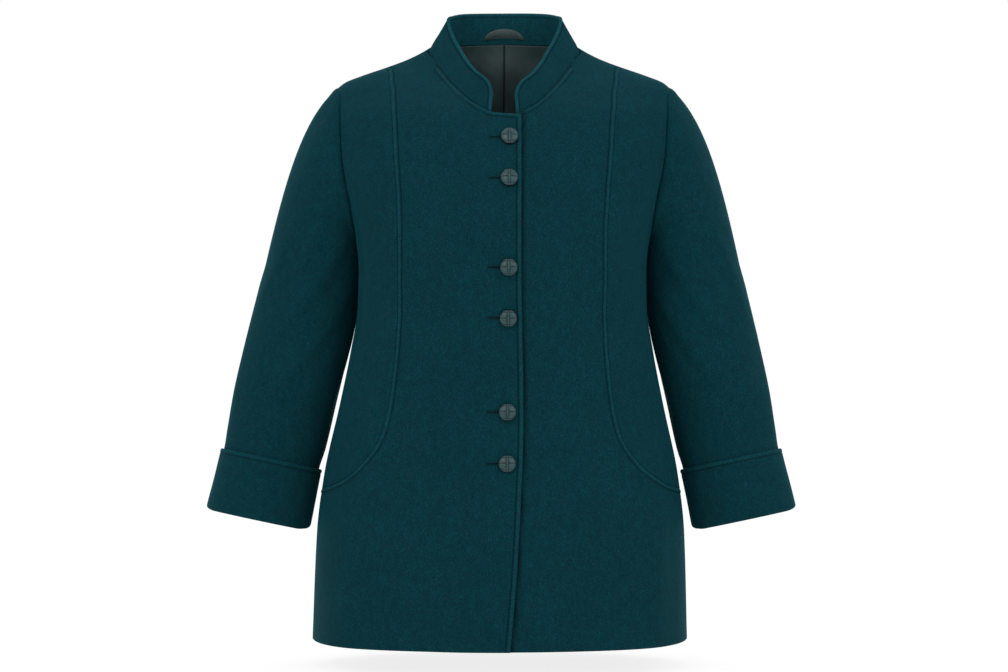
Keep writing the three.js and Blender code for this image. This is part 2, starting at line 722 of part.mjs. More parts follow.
// Turns all the way round, the same as the armhole's points.
function sleeveTurns() {
  const half = armholeTurns();
  return [...half, ...half.slice(1, -1).reverse().map((turn) => -turn)];
}

// The upper and under sleeve meet at the front of the arm's inside and down the back of the arm.
const FRONT_SEAM_COLUMN = SIDE_TURN_STEPS;
const BACK_SEAM_COLUMN = 19;

function sleeveRows(side) {
  const turns = sleeveTurns();
  const lines = turns.map((turn) => sleeveCapLine(turn, side));
  const cap = spread(0, 1, SLEEVE_CAP_ROWS).map((t) => lines.map((line) => line.getPoint(t)));
  const levels = [...spread(UPPER_ARM_Z, CUFF_TOP_Z, UPPER_ARM_STEPS).slice(1), ...CUFF_LEVELS.slice(1)];
  return [...cap, ...levels.map((z) => turns.map((turn) => sleeveRing(z, turn, side)))];
}

// A wall of the sleeve's columns that are named.
function sleevePart(side, columns) {
  const rows = sleeveRows(side);
  const tube = sheetOf([rows], true);
  const tubeNormals = sheetNormals(tube);
  const sheet = sheetOf([rows.map((row) => columns.map((column) => row[column]))]);
  const normals = [];
  sheet.numbers[0].forEach((row, r) =>
    row.forEach((number, c) => {
      normals[number] = tubeNormals[tube.numbers[0][r][columns[c]]];
    }),
  );
  drawIn(sheet, SEAM_GAP / 2);
  const inner = sheet.points.map((point, i) => point.clone().addScaledVector(normals[i], CLOTH * side));
  return wallGeometry(sheet, inner);
}

function upperSleeve(side) {
  const columns = [...sleeveTurns().keys()];
  return sleevePart(side, [...columns.slice(BACK_SEAM_COLUMN), ...columns.slice(0, FRONT_SEAM_COLUMN + 1)]);
}

function underSleeve(side) {
  const columns = [...sleeveTurns().keys()];
  return sleevePart(side, columns.slice(FRONT_SEAM_COLUMN, BACK_SEAM_COLUMN + 1));
}

function cuff(side) {
  const rings = (lift) => {
    const grid = CUFF_LEVELS.map((z) => sleeveTurns().map((turn) => sleeveRing(z, turn, side, lift)));
    const past = sleeveAxis(side).multiplyScalar(CUFF_OVERHANG);
    const end = grid[grid.length - 1].map((point) => point.clone().add(past));
    return sheetOf([[...grid, end]], true);
  };
  return wallGeometry(rings(CUFF_GAP + CUFF_CLOTH), rings(CUFF_GAP).points);
}

// ---------------------------------------------------------------- collar

// The neck seam all round, from the collar's end on the wearer's right to its end on the left.
function neckSeamPoints() {
  const roundBack = neckBackLine().reverse().slice(1, -1);
  const places = [...neckFrontLine(-1).reverse(), ...roundBack, ...neckFrontLine(1)];
  return places.map((place) => {
    const onRightFront = place.x < 0 && place.x > -Math.PI / 2;
    const lift = onRightFront ? lapLift(bodyPoint(place.x, place.y)) : 0;
    return bodyPoint(place.x, place.y, lift);
  });
}

// A path of straight stretches through points; at(distance) gives the place that far along it.
function straightPath(points) {
  const path = new THREE.CurvePath();
  points.slice(1).forEach((point, i) => path.add(new THREE.LineCurve3(points[i], point)));
  const length = path.getLength();
  return { length, at: (distance) => path.getPoint(THREE.MathUtils.clamp(distance / length, 0, 1)) };
}

// How far the collar leans in and rises, from its front ends to the centre back.
const COLLAR_LEAN = [
  { y: -110, lean: 17, rise: 39 },
  { y: -60, lean: 20, rise: 37 },
  { y: 0, lean: 22, rise: 38 },
  { y: 45, lean: 17, rise: 39 },
  { y: 75, lean: 12, rise: 39 },
];

const NECK_MIDDLE_Y = -10;

function towardNeck(point) {
  return new THREE.Vector3(-point.x, NECK_MIDDLE_Y - point.y, 0);
}

// Rows of points on the collar's outside, from its foot to its top edge.
function collarGrid(columnsAlong, rows) {
  const seam = straightPath(neckSeamPoints());
  const length = seam.length;
  const corner = spread(0, Math.PI / 2, 5).map((turn) => COLLAR_CORNER * (1 - Math.cos(turn)));
  const middle = spread(COLLAR_CORNER, length - COLLAR_CORNER, columnsAlong).slice(1, -1);
  const places = [...corner, ...middle, ...corner.map((place) => length - place).reverse()];
  const grid = Array.from({ length: rows + 1 }, () => []);
  for (const place of places) {
    const base = seam.at(place);
    const fromEnd = Math.min(place, length - place, COLLAR_CORNER);
    const rounding = COLLAR_CORNER - Math.sqrt(COLLAR_CORNER ** 2 - (COLLAR_CORNER - fromEnd) ** 2);
    const inward = towardNeck(base).normalize();
    const up = inward
      .multiplyScalar(readTable(COLLAR_LEAN, 'y', 'lean', base.y))
      .add(new THREE.Vector3(0, 0, readTable(COLLAR_LEAN, 'y', 'rise', base.y)));
    const full = up.length();
    up.normalize();
    for (let row = 0; row <= rows; row += 1) {
      const height = COLLAR_SEAT + ((full - rounding) * row) / rows;
      grid[row].push(base.clone().addScaledVector(up, height));
    }
  }
  return grid;
}

// Offsets an open strip along its own normals, toward the neck.
function offsetStrip(grid, distance) {
  const rows = grid.length;
  const columns = grid[0].length;
  return grid.map((row, r) =>
    row.map((point, c) => {
      const along = row[Math.min(c + 1, columns - 1)].clone().sub(row[Math.max(c - 1, 0)]);
      const up = grid[Math.min(r + 1, rows - 1)][c].clone().sub(grid[Math.max(r - 1, 0)][c]);
      const normal = along.cross(up).normalize();
      if (normal.dot(towardNeck(point)) < 0) normal.negate();
      return point.clone().addScaledVector(normal, distance);
    }),
  );
}

function collar() {
  const outer = collarGrid(26, 4);
  return wallGeometry(sheetOf([outer]), offsetStrip(outer, COLLAR_CLOTH).flat());
}

// ---------------------------------------------------------------- hanger loop

const LOOP_HALF_SPAN = 26; // along the collar's foot, each way from the centre back
const LOOP_FOOT = 0.06; // heights are shares of the collar's own height
const LOOP_OPENING_RISE = 0.07;
const LOOP_END_WIDTH = 0.07;
const LOOP_RISE = 0.36;
const LOOP_CLOTH = 1.2;
const LOOP_COLUMNS = 14;

// A crescent of satin against the collar's inside, open below its lower edge.
function hangerLoop() {
  const grid = offsetStrip(collarGrid(60, 1), COLLAR_CLOTH + 0.8);
  const foot = straightPath(grid[0]);
  const brim = straightPath(grid[1]);
  const arch = (t) => Math.sqrt(1 - t * t);
  const at = (t, height) => {
    const reach = t * LOOP_HALF_SPAN;
    return foot.at(foot.length / 2 + reach).lerp(brim.at(brim.length / 2 + reach), height);
  };
  const steps = spread(-1, 1, LOOP_COLUMNS);
  const lower = steps.map((t) => at(t, LOOP_FOOT + LOOP_OPENING_RISE * arch(t)));
  const upper = steps.map((t) => at(t, LOOP_FOOT + LOOP_END_WIDTH + LOOP_RISE * arch(t)));
  const outer = [lower, upper];
  const inner = offsetStrip(outer, LOOP_CLOTH);
  return wallGeometry(sheetOf([outer]), inner.flat());
}

// ---------------------------------------------------------------- buttons

const SHANK_FOOT = 0.8; // just clear of the under front
const BUTTON_UNDER = LAP_LIFT + 1.2; // the dome's underside, just clear of the upper front
const BUTTON_CROWN = 6.5;
const BUTTON_RIM = 1.6;
const BUTTON_BEVEL = 1.5;

function button(z) {
  const dome = spread(Math.PI / 2, 0, 4).map((turn) => {
    const height = BUTTON_RIM + (BUTTON_CROWN - BUTTON_RIM) * Math.cos(turn);
    return new THREE.Vector2(BUTTON_RADIUS * Math.sin(turn), BUTTON_UNDER + height);
  });
  dome[dome.length - 1].x = 0;
  const profile = [
    new THREE.Vector2(0, SHANK_FOOT),
    new THREE.Vector2(SHANK_RADIUS, SHANK_FOOT),
    new THREE.Vector2(SHANK_RADIUS, BUTTON_UNDER),
    new THREE.Vector2(BUTTON_RADIUS - BUTTON_BEVEL, BUTTON_UNDER),
    ...dome,
  ];
  const lathe = new THREE.LatheGeometry(profile, 14).rotateX(Math.PI / 2);
  return faceOutward(mergedBare(lathe)).applyMatrix4(buttonFrame(z));
}

// ---------------------------------------------------------------- the coat

const coat = new THREE.Group();
coat.add(mesh('front_right', frontRight(), looks.wool));
coat.add(mesh('front_left', frontLeft(), looks.wool));
coat.add(mesh('side_front_right', sideFront(-1), looks.wool));
coat.add(mesh('side_front_left', sideFront(1), looks.wool));
coat.add(mesh('back_right', backHalf(-1), looks.wool));
coat.add(mesh('back_left', backHalf(1), looks.wool));
coat.add(mesh('lining_back', backLining(), looks.satin));
coat.add(mesh('collar', collar(), looks.wool));
coat.add(mesh('hanger_loop', hangerLoop(), looks.satin));
for (const [name, side] of [['right', -1], ['left', 1]]) {
  coat.add(mesh(`sleeve_upper_${name}`, upperSleeve(side), looks.wool));
  coat.add(mesh(`sleeve_under_${name}`, underSleeve(side), looks.wool));
  coat.add(mesh(`cuff_${name}`, cuff(side), looks.woolTurned));
}
BUTTON_HEIGHTS.forEach((z, i) => {
  coat.add(mesh(`button_${i + 1}`, button(z), looks.button));
});

export default coat;
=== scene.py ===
"""Looks of a women's wool overcoat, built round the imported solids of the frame.

The cloth's surfaces are worked out in millimetres, as the solids were, and made in metres.
+Z is up, the closed front faces -Y and +X is the wearer's left.
"""

import math

import bpy
import numpy as np
from mathutils import Matrix, Vector
from mathutils.bvhtree import BVHTree
from mathutils.kdtree import KDTree

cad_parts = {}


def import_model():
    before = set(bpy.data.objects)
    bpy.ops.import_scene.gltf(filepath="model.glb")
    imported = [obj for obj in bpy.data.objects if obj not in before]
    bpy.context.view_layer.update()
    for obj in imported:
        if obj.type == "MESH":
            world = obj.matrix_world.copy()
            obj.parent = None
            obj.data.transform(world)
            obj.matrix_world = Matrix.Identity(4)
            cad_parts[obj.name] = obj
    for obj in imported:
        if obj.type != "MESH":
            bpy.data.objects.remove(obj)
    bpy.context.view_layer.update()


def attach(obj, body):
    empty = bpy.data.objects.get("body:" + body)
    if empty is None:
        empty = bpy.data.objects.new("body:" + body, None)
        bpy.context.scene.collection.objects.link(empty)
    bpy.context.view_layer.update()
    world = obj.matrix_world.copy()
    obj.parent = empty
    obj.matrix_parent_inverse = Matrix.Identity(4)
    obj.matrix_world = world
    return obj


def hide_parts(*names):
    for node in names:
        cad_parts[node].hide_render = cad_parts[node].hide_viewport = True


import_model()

MM = 0.001
RIGHT, LEFT = -1, 1
HALF_TURN = math.pi

# ---------------- driving sizes, millimetres

CLOTH = 3.0
LINING = 1.0
HEM_Z = -757.0
SHOULDER_Z = -52.5
UNDERARM_Z = -245.0
NECK_BACK_Z = 11.0
UNDERLAP_EDGE_X = -20.0
LAP_LIFT = CLOTH + 1.2
LAP_LIFT_START_X = -95.0
LAP_LIFT_END_X = -42.0
LAP_TOP_Z = -97.0
UNDERLAP_TOP_Z = -98.0
STITCH_INSET = 6.0


def table(columns, rows):
    return {name: np.array([row[i] for row in rows], float) for i, name in enumerate(columns)}


# Level sections through the body.
BODY = table(
    ("z", "half_width", "front", "back", "square"),
    [
        (12, 78, 6, 70, 0),
        (0, 94, 12, 74, 0),
        (-6.5, 104, 17, 75.5, 0),
        (-16.5, 124, 26, 78, 0),
        (-27, 152, 35, 81, 0),
        (-37, 181, 45, 84.5, 0),
        (-47, 205, 55, 88, 0.003),
        (-60, 217, 70, 92.5, 0.008),
        (-92, 222, 100, 103, 0.018),
        (-130, 220, 119, 111, 0.025),
        (-165, 213, 130, 116, 0.03),
        (-205, 200, 139, 117.5, 0.03),
        (-245, 188, 144, 115, 0.03),
        (-285, 184, 145, 111, 0.03),
        (-330, 184.5, 141, 108, 0.03),
        (-388, 193, 135, 109, 0.03),
        (-456, 206.5, 133.5, 113, 0.03),
        (-547, 226, 139, 121, 0.028),
        (-620, 234.5, 144, 127, 0.026),
        (HEM_Z, 239, 151, 133, 0.025),
    ],
)
NECKLINE = table(("x", "z"), [(94, 0), (89, -20), (72, -46), (55, -67), (37, -82.5), (15.5, -94)])
LAP_EDGE = table(
    ("x", "z"),
    [(22, LAP_TOP_Z), (23, -290), (26.5, -440), (27, -490), (25.5, -545), (21, -650), (13, HEM_Z)],
)
PRINCESS = table(
    ("x", "z"),
    [(147, -25.7), (143, -60), (139, -100), (135.5, -150), (131, -210), (129, -270), (129, -330),
     (132, -390), (138, -445)],
)
HIP_CURVE = table(
    ("x", "z"),
    [(138, -445), (145, -482), (153, -502), (169, -525), (190, -545), (212, -557), (227, -563)],
)
HIP_END_Z = -566.0
SLEEVE = table(
    ("x", "y", "z", "half_width", "half_depth"),
    [
        (244.5, 26, -292, 62.5, 66),
        (250.5, 27, -324, 65.5, 66),
        (264.5, 27, -388, 66.5, 63),
        (279.5, 25, -452, 66, 60),
        (289.5, 20, -503, 64.5, 56),
        (295, 16, -527, 62.5, 54),
        (310.5, 4, -601, 64, 55),
    ],
)
ARMHOLE_DEPTH = 54.0
ARMHOLE_TAPER = 0.12
CUFF_CLOTH = 3.4
CUFF_GAP = 0.4
CUFF_OVERHANG = 4.6
CUFF_HEIGHT = 73.0
COLLAR_CLOTH = 4.4
COLLAR_SEAT = 0.45
COLLAR_CORNER = 18.0
COLLAR_LEAN = table(
    ("y", "lean", "rise"), [(-110, 17, 39), (-60, 20, 37), (0, 22, 38), (45, 17, 39), (75, 12, 39)]
)
BUTTON_RADIUS = 11.0
BUTTON_X = 7.5
BUTTON_HEIGHTS = (-126.0, -177.0, -286.0, -347.5, -463.5, -527.0)
BUTTONHOLE_LENGTH = 25.0

# Soft folds of the body: where each starts and ends as (angle, height), its width and its height.
BODY_FOLDS = table(
    ("top_angle", "top_z", "end_angle", "end_z", "width", "height"),
    [
        (-52, -150, -36, -330, 24, 1.6),
        (55, -140, 40, -340, 26, 1.7),
        (-20, -300, -27, -700, 34, 1.6),
        (24, -330, 31, -720, 36, 1.5),
        (-60, -300, -66, -540, 20, 1.5),
        (62, -290, 70, -530, 20, 1.4),
        (-45, -470, -50, -757, 26, 2.0),
        (49, -480, 52, -757, 24, 1.9),
        (-78, -230, -70, -420, 12, 1.8),
        (79, -225, 71, -430, 12, 1.8),
        (140, -170, 150, -520, 30, 2.2),
        (-140, -180, -152, -540, 32, 2.2),
        (180, -260, 178, -640, 26, 1.6),
        (118, -250, 112, -640, 26, 2.4),
        (-117, -240, -113, -650, 26, 2.3),
    ],
)
# Soft folds of a sleeve: start and end as (turn, height), width and height.
SLEEVE_FOLDS = table(
    ("top_angle", "top_z", "end_angle", "end_z", "width", "height"),
    [
        (70, -190, 30, -330, 13, 1.7),
        (125, -250, 60, -395, 12, 2.0),
        (150, -300, 95, -430, 11, 1.8),
        (-60, -200, -25, -360, 14, 1.9),
        (-120, -270, -70, -410, 13, 2.2),
        (10, -330, 18, -500, 16, 1.1),
        (180, -330, 150, -480, 12, 1.6),
    ],
)

# ---------------- reading tables


def smoothstep(start, end, value):
    t = np.clip((np.asarray(value, float) - start) / (end - start), 0, 1)
    return t * t * (3 - 2 * t)


def bell(value, middle, width):
    return np.exp(-(((value - middle) / width) ** 2))


def cubic(t, start, leave, end, arrive):
    """A cubic from start to end, with its slopes at both."""
    return (
        (2 * t**3 - 3 * t**2 + 1) * start
        + (t**3 - 2 * t**2 + t) * leave
        + (-2 * t**3 + 3 * t**2) * end
        + (t**3 - t**2) * arrive
    )


def read(rows, key, column, at):
    """A column of a table at the place key = at, with a smooth curve through the rows."""
    x, y, at = rows[key], rows[column], np.asarray(at, float)
    if x[-1] < x[0]:
        x, at = -x, -at
    at = np.clip(at, x[0], x[-1])
    rise = np.diff(y) / np.diff(x)
    product = rise[:-1] * rise[1:]
    total = np.where(product > 0, rise[:-1] + rise[1:], 1)
    slope = np.concatenate([rise[:1], np.where(product > 0, 2 * product / total, 0), rise[-1:]])
    row = np.clip(np.searchsorted(x, at, side="right") - 1, 0, len(x) - 2)
    step = x[row + 1] - x[row]
    t = (at - x[row]) / step
    return cubic(t, y[row], step * slope[row], y[row + 1], step * slope[row + 1])


def at_level(rows, z, *names):
    """Columns of a table at the height z."""
    return [read(rows, "z", name, z) for name in names]


def unit(vectors):
    length = np.linalg.norm(vectors, axis=-1, keepdims=True)
    return vectors / np.maximum(length, 1e-12)


def reach_of(points):
    """Distance along a line of points, at each of them."""
    steps = np.linalg.norm(np.diff(points, axis=0), axis=1)
    return np.concatenate([[0], np.cumsum(steps)])


def at_reach(wanted, reached, values):
    """Rows of values known along a line, at other distances along it."""
    return np.stack([np.interp(wanted, reached, values[:, k]) for k in range(values.shape[1])], 1)


def along(points, wanted):
    """Points at these distances along a line of points."""
    return at_reach(wanted, reach_of(points), points)


def lifted(points, normals, height):
    return points + normals * np.asarray(height)[..., None]


def smooth_line(points, per_step):
    """A centripetal curve through points, as a finer line."""
    points = np.asarray(points, float)
    padded = np.vstack([2 * points[0] - points[1], points, 2 * points[-1] - points[-2]])
    made = []
    t = np.linspace(0, 1, per_step, endpoint=False)[:, None]
    for a, b, c, d in zip(padded[:-3], padded[1:-2], padded[2:-1], padded[3:]):
        ab, bc, cd = (max(np.linalg.norm(v) ** 0.5, 1e-6) for v in (b - a, c - b, d - c))
        start = ((b - a) / ab - (c - a) / (ab + bc) + (c - b) / bc) * bc
        end = ((c - b) / bc - (d - b) / (bc + cd) + (d - c) / cd) * bc
        made.append(cubic(t, b, start, c, end))
    return np.vstack(made + [points[-1:]])


def finer(grid, factor, breaks=()):
    """Smoothly divides the rows of a grid of places. Breaks are rows where it may bend sharply."""
    cuts = [0, *breaks, len(grid) - 1]
    made = []
    for first, last in zip(cuts[:-1], cuts[1:]):
        part = grid[first : last + 1]
        if len(part) < 3:
            t = np.linspace(0, 1, factor * (len(part) - 1) + 1).reshape((-1,) + (1,) * (grid.ndim - 1))
            piece = part[0] * (1 - t) + part[-1] * t
        else:
            padded = np.concatenate([2 * part[:1] - part[1:2], part, 2 * part[-1:] - part[-2:-1]])
            at = np.linspace(0, len(part) - 1, factor * (len(part) - 1) + 1)
            i = np.minimum(at.astype(int), len(part) - 2)
            t = (at - i).reshape((-1,) + (1,) * (grid.ndim - 1))
            a, b, c, d = (padded[i + k] for k in range(4))
            piece = 0.5 * (
                2 * b + (c - a) * t + (2 * a - 5 * b + 4 * c - d) * t**2 + (3 * b - a - 3 * c + d) * t**3
            )
        made.append(piece if first == 0 else piece[1:])
    return np.concatenate(made)


# ---------------- the body's surface

SOLVING_STEPS = 12
LEAST_SLOPE = 0.05
FLUTES = 7
FLUTE_START_Z = -360.0
FLUTE_FRONT = 0.7
FLUTE_BACK = 3.0
FLUTE_DRIFT = 0.5


def flutes(angle, z):
    """The skirt's soft waves, which deepen toward its hem."""
    opening = smoothstep(-FLUTE_START_Z, -HEM_Z, -z)
    backness = (1 - np.cos(angle)) / 2
    depth = FLUTE_FRONT + FLUTE_BACK * backness**2
    return opening * depth * np.cos(FLUTES * angle + FLUTE_DRIFT * np.sin(angle))


def body_point(angle, z):
    angle, z = np.broadcast_arrays(np.asarray(angle, float), np.asarray(z, float))
    half_width, front, back, square = at_level(BODY, z, "half_width", "front", "back", "square")
    across = (np.sin(angle) + square * np.sin(3 * angle)) / (1 - square)
    forward = (np.cos(angle) - square * np.cos(3 * angle)) / (1 - square)
    depth = np.where(forward > 0, front, back)
    out = unit(np.stack([across / half_width, -forward / depth, np.zeros_like(z)], -1))
    point = np.stack([across * half_width, -forward * depth, z], -1)
    return lifted(point, out, flutes(angle, z))


def body_normal(angle, z):
    turn = 0.004
    rise = 0.5
    round_it = body_point(angle + turn, z) - body_point(angle - turn, z)
    up = body_point(angle, z + rise) - body_point(angle, z - rise)
    return unit(np.cross(round_it, up))


def front_angle(x, z):
    """The angle on the front at which a level section reaches x."""
    half_width, square = at_level(BODY, z, "half_width", "square")
    wanted = np.clip(x / half_width, -1, 1) * (1 - square)
    angle = np.arcsin(np.clip(wanted, -1, 1))
    for _ in range(SOLVING_STEPS):
        miss = np.sin(angle) + square * np.sin(3 * angle) - wanted
        slope = np.maximum(LEAST_SLOPE, np.cos(angle) + 3 * square * np.cos(3 * angle))
        angle = np.clip(angle - miss / slope, -HALF_TURN / 2, HALF_TURN / 2)
    return angle


def on_front(x, z):
    x, z = np.broadcast_arrays(np.asarray(x, float), np.asarray(z, float))
    return np.stack([front_angle(x, z), z], -1)


def on_armhole(turn, side):
    """Places on the armhole seam. turn goes from the shoulder round the front."""
    turn = np.asarray(turn, float)
    middle, half_height = (SHOULDER_Z + UNDERARM_Z) / 2, (SHOULDER_Z - UNDERARM_Z) / 2
    z = middle + half_height * np.cos(turn)
    forward = ARMHOLE_DEPTH * np.sin(turn) * (1 - ARMHOLE_TAPER * np.cos(turn))
    front, back, square = at_level(BODY, z, "front", "back", "square")
    depth = np.where(forward > 0, front, back)
    wanted = forward / depth * (1 - square)
    angle = np.arccos(np.clip(wanted, -1, 1))
    for _ in range(SOLVING_STEPS):
        miss = np.cos(angle) - square * np.cos(3 * angle) - wanted
        slope = np.minimum(-LEAST_SLOPE, -np.sin(angle) + 3 * square * np.sin(3 * angle))
        angle = angle - miss / slope
    return np.stack([side * angle, z], -1)


FOLD_SWAY = 0.05
FOLD_FADE = 60.0
# Beside each fold, 1.5 widths away, the cloth falls in by this share of the fold's height.
HOLLOW_SHARE = 0.55
# The radius round which the body's folds are laid.
BODY_REACH = 190.0
FOLDS_START_Z = -70.0
FOLDS_FULL_Z = -190.0


def folds(rows, angle, z, reach):
    """How far soft folds lift the cloth, from a table of lines on it. reach is its radius."""
    lift = np.zeros_like(z)
    for i in range(len(rows["width"])):
        top, end = math.radians(rows["top_angle"][i]), math.radians(rows["end_angle"][i])
        top_z, end_z = rows["top_z"][i], rows["end_z"][i]
        share = (z - top_z) / (end_z - top_z)
        line = top + (end - top) * np.clip(share, 0, 1) + FOLD_SWAY * np.sin(3.1 * share + i)
        aside = np.angle(np.exp(1j * (angle - line))) * reach / rows["width"][i]
        beyond = np.maximum(np.maximum(-share, share - 1), 0) * abs(end_z - top_z) / FOLD_FADE
        fade = bell(beyond, 0, 1) * smoothstep(-0.25, 0.35, share) * smoothstep(1.3, 0.6, share)
        form = bell(aside, 0, 1) - HOLLOW_SHARE * bell(aside, 1.5, 1)
        lift += rows["height"][i] * fade * form
    return lift


def body_rise(angle, z):
    """How far the body's folds lift its cloth. They die out at the neck and shoulders."""
    return folds(BODY_FOLDS, angle, z, BODY_REACH) * smoothstep(FOLDS_START_Z, FOLDS_FULL_Z, z)


# ---------------- seam lines as (angle, height)

SIDE_TURN = math.radians(140)
SIDE_TURN_STEPS = 9
BASE_STEPS = 3
WAIST_STEPS = 7
SKIRT_STEPS = 8
SIDE_FRONT_COLUMNS = 5
HEM_SPLIT_ANGLE = math.radians(44)
HIP_STEPS = SIDE_FRONT_COLUMNS + BASE_STEPS
NECK_STEPS = 8
SHOULDER_STEPS = 2
LAP_STEPS = 2
SHOULDER_CROWDING = 1.7
TURNED_ROWS = 4
RAISED_ROWS = SIDE_TURN_STEPS + 2
EDGE_FALL = 300.0
CURVE_STEPS = 60
PRINCESS_TOP_Z = PRINCESS["z"][0]
HIP_START_Z = HIP_CURVE["z"][0]
BASE_Z = float(on_armhole(SIDE_TURN, 1)[1])


def side_place(side, z):
    z = np.asarray(z, float)
    return np.stack([np.full_like(z, side * HALF_TURN / 2), z], -1)


def princess_line(side):
    share = np.linspace(0, 1, SIDE_TURN_STEPS + 1) ** SHOULDER_CROWDING
    chest = PRINCESS_TOP_Z + (BASE_Z - PRINCESS_TOP_Z) * share
    levels = np.concatenate([chest, np.linspace(BASE_Z, HIP_START_Z, WAIST_STEPS + 1)[1:]])[1:]
    seam = on_front(side * read(PRINCESS, "z", "x", levels), levels)
    return np.vstack([side_place(side, [PRINCESS_TOP_Z]), seam])


def front_curve(rows, side, count):
    line = smooth_line(np.stack([side * rows["x"], rows["z"]], 1), CURVE_STEPS)
    spaced = along(line, np.linspace(0, reach_of(line)[-1], count + 1))
    return on_front(spaced[:, 0], spaced[:, 1])


def evenly(places, steps):
    """Places along a line on the body, the same distance apart."""
    reached = reach_of(body_point(places[:, 0], places[:, 1]))
    return at_reach(np.linspace(0, reached[-1], steps + 1), reached, places)


def hip_line(side):
    dense = front_curve(HIP_CURVE, side, CURVE_STEPS)
    return evenly(np.vstack([dense, side_place(side, [HIP_END_Z])]), HIP_STEPS)


def armhole_turns():
    side_turns = np.linspace(0, SIDE_TURN, SIDE_TURN_STEPS + 1)
    return np.concatenate([side_turns, np.linspace(SIDE_TURN, HALF_TURN, BASE_STEPS + 1)[1:]])


def front_top_line(side, end_x, end_z):
    shoulder = side_place(side, np.linspace(PRINCESS_TOP_Z, 0, SHOULDER_STEPS + 1)[:-1])
    neck = front_curve(NECKLINE, side, NECK_STEPS)
    t = np.linspace(0, 1, LAP_STEPS + 1)[1:]
    x = side * NECKLINE["x"][-1] * (1 - t) + end_x * t
    z = NECKLINE["z"][-1] * (1 - t) + end_z * t
    return np.vstack([shoulder, neck, on_front(x, z)])


def rows_between(start, end, steps):
    t = np.linspace(0, 1, steps + 1)[:, None, None]
    return start[None] * (1 - t) + end[None] * t


def front_blocks(side, edge_at, top_z):
    """Places of the upper front, of its skirt under the hip curve and of its skirt at the centre."""
    top = front_top_line(side, float(edge_at(top_z)), top_z)
    seam = princess_line(side)
    settled = seam[TURNED_ROWS][0]
    share = np.linspace(0, 1, len(top))[:, None]
    straight = top[0] * (1 - share) + top[-1] * share
    upper = []
    for row, start in enumerate(seam):
        fall = smoothstep(-PRINCESS_TOP_Z, EDGE_FALL, -start[1])
        end_z = start[1] + (top_z - PRINCESS_TOP_Z) * (1 - fall)
        end = on_front(edge_at(end_z), end_z)
        line = start * (1 - share) + end * share
        turned = (start[0] - settled) / (seam[0][0] - settled) if row < TURNED_ROWS else 0
        raised = max(0, 1 - row / RAISED_ROWS) ** 2
        line = line + (top - straight) * np.array([turned, raised])
        upper.append(line)
    upper = np.array(upper)
    belt = upper[-1]
    hem_split = np.array([side * HEM_SPLIT_ANGLE, HEM_Z])
    hem_end = on_front(edge_at(HEM_Z), HEM_Z)
    hem = hem_split * (1 - share) + hem_end * share
    centre = rows_between(belt, hem, SKIRT_STEPS)
    miss = front_angle(edge_at(centre[:, -1, 1]), centre[:, -1, 1]) - centre[:, -1, 0]
    centre[:, :, 0] += miss[:, None] * share[:, 0][None]
    hip = hip_line(side)[::-1]
    share = np.linspace(0, 1, HIP_STEPS + 1)[:, None]
    hem = side_place(side, [HEM_Z]) * (1 - share) + hem_split * share
    return upper, rows_between(hip, hem, SKIRT_STEPS), centre


def side_front_blocks(side):
    seam = princess_line(side)
    armhole = on_armhole(armhole_turns(), side)
    share = np.linspace(0, 1, SIDE_FRONT_COLUMNS + 1)[:, None]
    upper = np.array(
        [seam[r] * (1 - share) + armhole[r] * share for r in range(SIDE_TURN_STEPS + 1)]
    )
    belt = np.vstack([upper[-1], armhole[SIDE_TURN_STEPS + 1 :]])
    lower = rows_between(belt, hip_line(side), WAIST_STEPS)
    miss = seam[SIDE_TURN_STEPS:] - lower[:, 0]
    lower += miss[:, None, :] * (1 - np.arange(HIP_STEPS + 1) / HIP_STEPS)[None, :, None]
    return upper, lower


def neck_back_line(steps):
    t = np.linspace(0, 1, steps + 1)
    return np.stack([HALF_TURN * (0.5 + t), NECK_BACK_Z * np.sin(HALF_TURN * t).clip(0) ** 0.8], 1)


BACK_SHOULDER_STEPS = 4
BACK_STEPS = 12


def back_blocks():
    left = on_armhole(-armhole_turns(), LEFT)

    def turned(places):
        return places * np.array([-1, 1]) + np.array([2 * HALF_TURN, 0])

    shoulder = side_place(1, np.linspace(SHOULDER_Z, 0, BACK_SHOULDER_STEPS + 1))
    neck = neck_back_line(2 * NECK_STEPS)[::2]
    top = np.vstack([shoulder[:-1], neck, turned(shoulder)[::-1][1:]])
    share = np.linspace(0, 1, len(top))[:, None]
    level = np.hstack([HALF_TURN * (0.5 + share), np.full_like(share, SHOULDER_Z)])
    upper = []
    for row, start in enumerate(left[: SIDE_TURN_STEPS + 1]):
        keep = max(0, 1 - row / (SIDE_TURN_STEPS - 1)) ** 2
        upper.append(start * (1 - share) + turned(start) * share + (top - level) * keep)
    upper = np.array(upper)
    base = left[SIDE_TURN_STEPS + 1 :]
    belt = np.vstack([base[::-1], upper[-1], turned(base)])
    share = np.linspace(0, 1, len(belt))
    hem = np.stack([HALF_TURN * (0.5 + share), np.full_like(share, HEM_Z)], 1)
    return upper, rows_between(belt, hem, BACK_STEPS)


# ---------------- fine grids on the body

# How far from an edge the lines of a fine grid lie: at a rounded edge, a stitched one, a plain one.
EDGE = (0, 0.15, 0.5, 1.0, 1.7, 2.7, 4.5)
STITCHED = (0, 0.15, 0.5, 1.0, 1.7, 2.7, 3.8, 4.7, 5.3, 5.7, 6.0, 6.3, 6.7, 7.3, 8.3, 10.5, 14)
PLAIN = (0,)
# Even steps between them: (across, (down the upper block, down the lower block)).
FRONT_GRID = (34, (84, 62))
SIDE_GRID = (16, (34, 60))
BACK_GRID = (46, (36, 104))
LINING_GRID = (44, (44, 70))
HIP_COLUMNS = 44
UNDERARM_COLUMNS = 12


